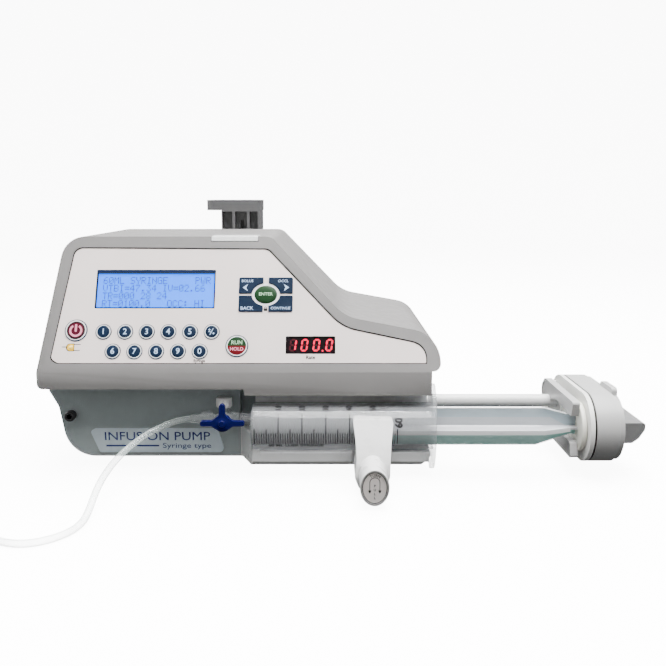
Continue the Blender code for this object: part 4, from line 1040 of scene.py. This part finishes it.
def make_syringe():
    centre = (SYRINGE_Y, SYRINGE_Z)
    nozzle = (SYRINGE_Y, LUER_Z)
    barrel = worked(
        spun("X", centre, [
            (0, BARREL_LEFT), (14.1, BARREL_LEFT), (14.9, BARREL_LEFT + 0.35), (15.4, BARREL_LEFT + 1.0),
            (BARREL_RADIUS, BARREL_LEFT + 2.0), (BARREL_RADIUS, 63.5),
            (BARREL_RADIUS, BARREL_RIGHT), (0, BARREL_RIGHT),
        ], 96),
        ("join", spun("X", nozzle, [
            (0, -60.3), (3.4, -60.3), (3.9, -59.8), (3.9, -53.4), (4.4, -52.4), (5.2, -51.0), (0, -51.0),
        ], 48)),
        ("join", slab("X", ellipse(centre, 16.6, 28.0, 72), BARREL_RIGHT - 2.4, BARREL_RIGHT)),
        ("soften", 0.35),
        ("cut", pillar("X", centre, BARREL_BORE, BARREL_LEFT + 1.6, BARREL_RIGHT + 5, 96)),
        ("cut", pillar("X", nozzle, 1.4, BARREL_LEFT - 12, BARREL_LEFT + 5, 24)),
    )
    parts = [(barrel, BARREL_CLEAR), (barrel_print(), TICK)]
    show("syringe_tube", parts, "base", ["syringe_barrel"])
    end = 157.5
    z, y = SYRINGE_Z, SYRINGE_Y
    tall = [(34, -12), (131, -12), (152, -5), (end, -5), (end, 7), (151, 8), (136, 12), (34, 12)]
    flat = [(34, -13.6), (134, -13.6), (152, -6), (end, -6), (end, 6), (152, 6), (134, 12), (34, 12)]
    upper = [(px, z + max(pz, 0.8)) for px, pz in tall if pz > 0] + [(34, z + 0.8), (end, z + 0.8)]
    lower = [(px, z + min(pz, -0.8)) for px, pz in tall if pz < 0] + [(end, z - 0.8), (34, z - 0.8)]
    top_rib = slab("Y", upper, -y - 0.8, -y + 0.8)
    # A thin lighter sheet on the upper rib's front, just above the level rib: a painted light band.
    painted_light_band = slab("Y", [(35, z + 0.9), (150, z + 0.9), (140, z + 6.2), (35, z + 6.2)], -y + 0.7, -y + 0.95)
    # The lower rib takes the darker teal copy: painted shade and a painted green reflection.
    low_rib = slab("Y", lower, -y - 0.8, -y + 0.8)
    # The level rib takes the lighter copy: painted light.
    level = worked(slab("Z", [(px, y + py) for px, py in flat], z - 0.75, z + 0.75), ("soften", 0.25))
    # Thin near-white strips along the rib edges: painted highlights.
    near = [(35, -13.9), (133.8, -13.9), (151.8, -6.35), (151.8, -5.85), (133.8, -13.2), (35, -13.2)]
    top = [(35, 11.8), (136, 11.8), (150.5, 8.0), (150.8, 8.5), (136.2, 12.4), (35, 12.4)]
    foot = [(35, -12.4), (131.2, -12.4), (151.8, -5.6), (151.6, -5.0), (131, -11.8), (35, -11.8)]
    edges = together(
        slab("Z", [(px, y + py) for px, py in near], z - 2.0, z + 0.95),
        slab("Y", [(px, z + pz) for px, pz in top], -y - 1.0, -y + 1.0),
        slab("Y", [(px, z + pz) for px, pz in foot], -y - 1.0, -y + 1.0),
    )
    disc = spun("X", centre, [(0, 34), (12.8, 34), (13.2, 34.4), (13.2, 35.4), (12.8, 35.8), (0, 35.8)])
    thumb = spun("X", centre, [
        (0, 156.5), (15.4, 156.5), (15.9, 156.8), (16.2, 157.4), (16.2, 159.0), (15.8, 159.6), (15.2, 159.7),
        (0, 159.7),
    ], 80)
    show("plunger", [
        (together(top_rib, disc), ROD_CLEAR), (low_rib, ROD_SHADE_AND_REFLECTION), (together(level, painted_light_band), ROD_PAINTED_LIGHT),
        (edges, ROD_PAINTED_HIGHLIGHT), (thumb, IVORY),
    ], "pusher", ["plunger_rod"])
    seal = [
        (0, 33.7), (12.0, 33.7), (13.9, 33.2), (14.25, 32.6), (14.25, 30.7), (13.9, 30.1), (12.8, 29.5),
        (12.6, 29.0), (12.6, 25.0), (12.8, 24.5), (13.9, 23.9), (14.25, 23.3), (14.25, 21.7), (13.6, 20.9),
        (12.8, 20.6), (0, 17.5),
    ]
    show("plunger_stopper", [(spun("X", centre, seal, 80), SEAL)], "pusher", ["plunger_seal"])


def make_tap():
    nozzle = (SYRINGE_Y, LUER_Z)
    body = worked(
        spun("X", nozzle, [
            (0, -77), (3.0, -77), (3.3, -76.6), (3.3, -74.6), (2.9, -74.0), (2.9, -66.4), (3.1, -66.0),
            (4.3, -65.6), (4.3, -61.0), (3.9, -60.6), (0, -60.6),
        ]),
        ("join", spun("Y", (TAP_X, LUER_Z), [
            (0, -3.6), (4.6, -3.6), (5.0, -4.0), (5.0, -15.6), (4.6, -16), (0, -16),
        ])),
        ("join", spun("Z", (TAP_X, SYRINGE_Y), [
            (0, LUER_Z), (2.8, LUER_Z), (2.8, 34.4), (3.2, 34.6), (3.2, 35.8), (2.8, 36), (0, 36),
        ])),
    )
    show("tap_body", [(body, CLEAR)], "base", ["stopcock_body"])
    places = ellipse((TAP_X, SYRINGE_Y), 4.75, 4.75, 24)
    ribs = [pillar("Z", place, 0.34, 36.9, 42.2, 8) for place in places]
    cap = spun("Z", (TAP_X, SYRINGE_Y), [
        (0, 43.0), (4.0, 43.0), (4.55, 42.8), (4.75, 42.4), (4.75, 36.7), (4.4, 36.3), (0, 36.3),
    ])
    show("tap_cap", [(together(cap, *ribs), WHITE)], "base", ["side_cap"])
    x, z = TAP_X, LUER_Z
    wing = rounded([
        (x + px, z + pz, *radius) for px, pz, *radius in [
            (-14, -1.6, 1.5), (-6.5, -1.7, 3), (-4.4, -3.4), (4.4, -3.4), (6.5, -1.7, 3), (14, -1.6, 1.5),
            (14, 1.6, 1.5), (6.5, 1.7, 3), (4.4, 3.4), (1.9, 5.6, 2), (1.8, 12.6, 1.7), (-1.8, 12.6, 1.7),
            (-1.9, 5.6, 2), (-4.4, 3.4), (-6.5, 1.7, 3), (-14, 1.6, 1.5),
        ]
    ], 6)
    hub = spun("Y", (x, z), [
        (0, 3.0), (1.9, 3.0), (2.3, 2.4), (3.6, 2.2), (4.9, 1.8), (5.4, 1.2),
        (5.4, -2.7), (5.0, -3.2), (0, -3.2),
    ])
    handle = worked(slab("Y", wing, -1.5, 2.0), ("soften", 0.55), ("join", hub))
    show("tap_lever", [(handle, TAP_BLUE)], "tap_handle", ["stopcock_handle"])
    wings = [
        block((-84.4, SYRINGE_Y - 0.7, z - 0.9), (-78.2, SYRINGE_Y + 0.7, z + 0.9))
        for z in (LUER_Z - 4.3, LUER_Z + 4.3)
    ]
    connector = spun("X", nozzle, [
        (0, -77.3), (3.8, -77.3), (4.1, -77.6), (4.1, -84.7), (3.7, -85.1), (2.9, -86.5),
        (2.75, -91.6), (2.5, -92),
        (0, -92),
    ])
    fitting = worked(connector, ("join", together(*wings)))
    show("line_fitting", [(fitting, CLEAR)], "base", ["luer_connector"])


make_syringe()
make_tap()


# Pusher head, barrel clamp and rail clamp.

def stadium(radius, steps=28):
    """The pusher head's outline: half circles about the syringe's axis and about the head's back end."""
    points = []
    for centre_y, start in ((HEAD_BACK_Y, -90), (SYRINGE_Y, 90)):
        for step in range(steps + 1):
            angle = math.radians(start + 180 * step / steps)
            points.append((centre_y + radius * math.cos(angle), SYRINGE_Z + radius * math.sin(angle)))
    return points


def make_head():
    z = SYRINGE_Z
    outline = stadium(HEAD_RADIUS)
    rod = spun("X", (57, 28.4), [
        (2.8, 28.5), (4.2, 28.5), (4.5, 28.9), (4.5, 159.4), (2.8, 159.4), (2.8, 28.6),
    ])
    show("drive_rod", [(rod, WHITE)], "pusher", ["drive_tube"])
    face = worked(
        slab("X", outline, 160, 162.7),
        ("join", slab("X", rounded([(46, 17.5, 3), (81, 17.5, 6), (81, 36, 6), (46, 36, 3)], 6), 157.0, 161)),
        ("soften", (0.8, 4)),
        ("cut", pillar("X", (57, 28.4), 4.6, 140, 159.9)),
    )
    pin = [(0, 151.3), (1.3, 151.3), (1.6, 151.6), (1.6, 160.5), (0, 160.5)]
    pins = [spun("X", (70, z + side * 15), pin, 24) for side in (-1, 1)]
    seam = slab("X", [stadium(HEAD_RADIUS - 0.7), stadium(HEAD_RADIUS - 4)], 162.4, 164.5)
    show("head_plate", [
        (face, IVORY_WHITE), (together(*pins), STEEL), (seam, GASKET),
    ], "pusher", ["head_face"])
    body = worked(
        slab("X", outline, 164.0, 178.3),
        ("soften", (1.0, 4)),
        ("cut", pillar("X", CLUTCH_AXIS, 5.3, 170, 190)),
    )
    show("head_shell", [(body, WHITE_MATT)], "pusher", ["head_body"])
    cover = worked(
        slab("X", stadium(HEAD_RADIUS - 1.2), 178.2, 181.6),
        ("join", slab("X", rounded([(7.6, 36), (33, 36), (30, 49.2, 3), (7.6, 49.2, 2.5)], 6), 178.2, 181.8)),
        ("soften", (1.2, 4)),
        ("cut", pillar("X", CLUTCH_AXIS, 5.3, 170, 190)),
    )
    show("head_lid", [(cover, WHITE_MATT)], "pusher", ["head_cover"])
    for name, side in (("upper_claw", 1), ("lower_claw", -1)):
        corners = [
            (75.3, 3.6, 4), (76.6, 12, 5), (69, 18.4, 4), (1.0, 18.4, 1.5), (0.2, 16.8, 0.5), (2.6, 8.7, 0.6),
            (6.4, 8.4, 0.8),
            (38, 10.4, 3), (60, 5.4, 3),
        ]
        outline = rounded([(corner[0], z + side * corner[1], *corner[2:]) for corner in corners], 6)
        claw = worked(
            slab("X", outline, 151.5, 156.2), ("soften", 0.5),
            ("cut", pillar("X", (70, z + side * 15), 1.8, 150, 158)),
        )
        show(f"{name}_arm", [(claw, CLAW)], name, [name])
    side_view = [
        (182, 15.4, 1), (190, 15.4, 3), (194.2, 18.6, 4), (197.9, 24.4, 4), (197.9, 28.6, 1.4),
        (182, 28.6, 1),
    ]
    knob = worked(
        slab("Y", rounded(side_view, 8), -41, 1),
        ("soften", (1.6, 4)),
        ("join", pillar("X", CLUTCH_AXIS, 4.95, 171, 184)),
    )
    show("clutch_bar", [(knob, CLUTCH)], "clutch", ["clutch_knob"])


def make_clamp():
    x, z = CLAMP_X, CLAMP_Z
    front = rounded([
        (x + px, z + pz, *r) for px, pz, *r in [
            (-11.8, 30.0, 1.6), (13.2, 29.3, 1.6), (11.5, 18, 30), (10.6, 8, 30), (10.4, -1, 8),
            (8.2, -8.6, 5),
            (0, -11.8, 7), (-8.4, -8.6, 5), (-11.2, -1, 8), (-9.6, 8, 30), (-10.2, 18, 30),
        ]
    ], 6)
    side_view = [
        (-5.4, -20), (-32, -20), (-31.8, 4.2), (-30.6, 11.0), (-28.2, 16.2), (-24.8, 21.8), (-20.8, 27.6),
        (-17.4, 32.2), (-15.6, 34.8), (-14.6, 35.7), (-5.4, 35.7),
    ]
    arm = worked(
        slab("Y", front, 6.4, 32.2), ("keep", slab("X", side_view, -10, 60)), ("soften", (1.1, 4)),
        ("cut", pillar("Y", (x, z), 2.45, 0, 24)),
    )
    grip = bmesh.new()
    sections = [
        (27.5, 1.0), (50.5, 1.0), (52.6, 1.0), (53.4, 0.965), (53.8, 0.92), (53.8, 0.86), (53.1, 0.84),
        (53.1, 0),
    ]
    rows = []
    for height, scale in sections:
        if not scale:
            rows.append([grip.verts.new((x, -height, z))])
            continue
        rows.append([
            grip.verts.new((px, -height, pz)) for px, pz in ellipse((x, z), 8.6 * scale, 11.2 * scale, 64)
        ])
    grip.faces.new(list(reversed(rows[0])))
    for first, second in zip(rows, rows[1:]):
        for i in range(64):
            j = (i + 1) % 64
            ahead = [second[j], second[i]] if len(second) > 1 else [second[0]]
            grip.faces.new([first[i], first[j], *ahead])
    bmesh.ops.recalc_face_normals(grip, faces=grip.faces)
    face_plate = slab("Y", ellipse((x, z), 7.3, 9.5, 64), 53.05, 53.25)
    rim = slab("Y", [ellipse((x, z), 8.2, 10.7, 64), ellipse((x, z), 7.3, 9.5, 64)], 53.0, 53.95)
    rim = worked(rim, ("soften", 0.25))
    line = slab("Y", [ellipse((x, z), 7.2, 9.4, 64), ellipse((x, z), 6.8, 9.0, 64)], 53.24, 53.29)
    top = z + 3.3
    arrow = [arc_band((x, top), 2.9, 0.42, 0, 180, 20)]
    for side in (-1, 1):
        ax = x + side * 2.9
        arrow.append([(ax - 0.21, z - 1.6), (ax + 0.21, z - 1.6), (ax + 0.21, top), (ax - 0.21, top)])
        arrow.append([(ax - 1.0, z - 1.4), (ax, z - 3.4), (ax + 1.0, z - 1.4)])
    marks = [slab("Y", outline, 53.24, 53.3) for outline in arrow]
    for letter, angle in zip("TURN", (118, 98, 79, 60)):
        a = math.radians(angle)
        centre = (x + 4.7 * math.cos(a), z + 3.0 + 4.4 * math.sin(a))
        marks.append(lettering(letter, 2.2, "Y", centre, 53.27, turn=angle - 90, bold=0.05))
    for i, letter in enumerate("PULL"):
        marks.append(lettering(letter, 2.0, "Y", (x, z + 1.2 - 2.4 * i), 53.27, bold=0.05))
    show("clamp_lever", [
        (arm, WHITE), (grip, WHITE), (rim, KNOB_RIM), (face_plate, KNOB_FACE),
        (together(line, *marks), PRINT_DARK),
    ], "clamp_arm", ["clamp_arm"])


def make_rail_clamp():
    web = [
        (160.3, 92, 1.5), (205, 92, 3), (205, 104, 1), (170, 104, 4), (170, 139.5), (183, 144), (183, 160),
        (160.3, 160),
    ]
    plan = rounded([(-101.8, 160.6, 5), (-58, 160.3, 2), (-58, 205, 15), (-101.8, 203, 8)], 8)
    top = worked(slab("Z", plan, 158.8, 167.0), ("soften", (2.6, 5)))
    pockets = [
        worked(block((x0, 155, 108), (x1, 167.6, 157.9)), ("soften", 0.7))
        for x0, x1 in ((-89.0, -81.0), (-78.9, -69.3), (-67.2, -60.6))
    ]
    shape = worked(
        slab("X", rounded(web, 6), -89.8, -58),
        ("join", block((-88, 199, 152), (-72, 204.8, 160))),
        ("join", top),
        ("soften", (0.8, 3)),
        ("cut", together(*pockets)),
        ("cut", block((-75.2, 160, 130), (-72.4, 172, 151))),
        ("cut", pillar("Z", (RAIL_X, 186), 4.25, 80, 120)),
    )
    show("rail_hook", [(shape, RAIL_GREY)], "rail_clamp", ["rail_clamp"])
    lobes = []
    for i in range(96):
        angle = 2 * math.pi * i / 96
        reach = 14.1 + 0.85 * math.cos(12 * angle)
        lobes.append((RAIL_X + reach * math.cos(angle), 186 + reach * math.sin(angle)))
    knob = worked(slab("Z", lobes, 46, 66), ("soften", (1.0, 3)))
    thread = [(0, 65)]
    for i in range(29):
        thread += [(4.0, 66 + 1.5 * i), (3.4, 66.75 + 1.5 * i)]
    thread += [(3.8, 110), (0, 110)]
    screw = spun("Z", (RAIL_X, 186), thread, 32)
    pad = spun("Z", (RAIL_X, 186), [(0, 114), (7.4, 114), (8, 113.4), (8, 110.6), (7.4, 110), (0, 110)], 48)
    parts = [(knob, BLACK), (screw, STEEL), (pad, RUBBER)]
    show("rail_hand_screw", parts, "rail_screw", ["rail_screw"])


make_head()
make_clamp()
make_rail_clamp()


# CAD nodes that keep their own shape.

for node, material in {
    "drive_frame": STEEL, "stepper_motor": BLACK, "motor_pinion": STEEL, "lead_screw": STEEL,
    "carriage": STEEL, "battery_pack": CELL, "main_board": BOARD, "clamp_rod": STEEL, "clamp_spring": STEEL,
}.items():
    mesh = frame["nodes"][node].data
    mesh.materials.clear()
    mesh.materials.append(material)


# Floor, backdrop and studio light.

def make_stage():
    """A round floor that sweeps up all the way round. It shines a little, but not on the pump."""
    shape = bmesh.new()
    profile = [(2.4, 0.0)]
    for step in range(1, 17):
        angle = math.pi / 2 * step / 16
        profile.append((2.4 + 0.9 * math.sin(angle), 0.9 - 0.9 * math.cos(angle)))
    profile.append((3.3, 3.6))
    turns = [2 * math.pi * i / 96 for i in range(96)]
    rows = [[shape.verts.new((r * math.cos(a), r * math.sin(a), z)) for a in turns] for r, z in profile]
    shape.faces.new(rows[0])
    for first, second in zip(rows, rows[1:]):
        for i in range(96):
            j = (i + 1) % 96
            shape.faces.new([first[j], first[i], second[i], second[j]])
    mesh = bpy.data.meshes.new("floor")
    shape.to_mesh(mesh)
    shape.free()
    mesh.shade_smooth()
    mesh.materials.append(FLOOR)
    floor = bpy.data.objects.new("floor", mesh)
    floor.visible_diffuse = False
    floor.visible_glossy = False
    bpy.context.scene.collection.objects.link(floor)


def light(name, place, target, size, power):
    data = bpy.data.lights.new(name, "AREA")
    data.shape = "RECTANGLE"
    data.size, data.size_y = size
    data.energy = power
    lamp = bpy.data.objects.new(name, data)
    lamp.location = place
    lamp.rotation_euler = (Vector(target) - Vector(place)).to_track_quat("-Z", "Y").to_euler()
    bpy.context.scene.collection.objects.link(lamp)


def make_light():
    world_light = bpy.data.worlds.new("studio")
    world_light.use_nodes = True
    nodes, links = world_light.node_tree.nodes, world_light.node_tree.links
    backdrop = nodes["Background"]
    backdrop.inputs["Color"].default_value = (1, 1, 1, 1)
    place = nodes.new("ShaderNodeTexCoord")
    parts = nodes.new("ShaderNodeSeparateXYZ")
    links.new(place.outputs["Generated"], parts.inputs["Vector"])
    links.new(ranged(nodes, links, parts.outputs["Z"], 0.09, 0.60, -0.45, 0.1), backdrop.inputs["Strength"])
    bpy.context.scene.world = world_light
    light("light_broad", (0.12, 0.02, 1.20), (0, 0.0, 0.08), (1.8, 0.8), 90)
    light("light_left", (-1.0, 0.05, 0.55), (0.2, 0.0, 0.04), (0.5, 0.5), 8)
    light("light_strip", (0.0, -0.135, 1.15), (0, -0.135, 0), (1.6, 0.035), 12)


make_stage()
make_light()

bpy.context.view_layer.update()
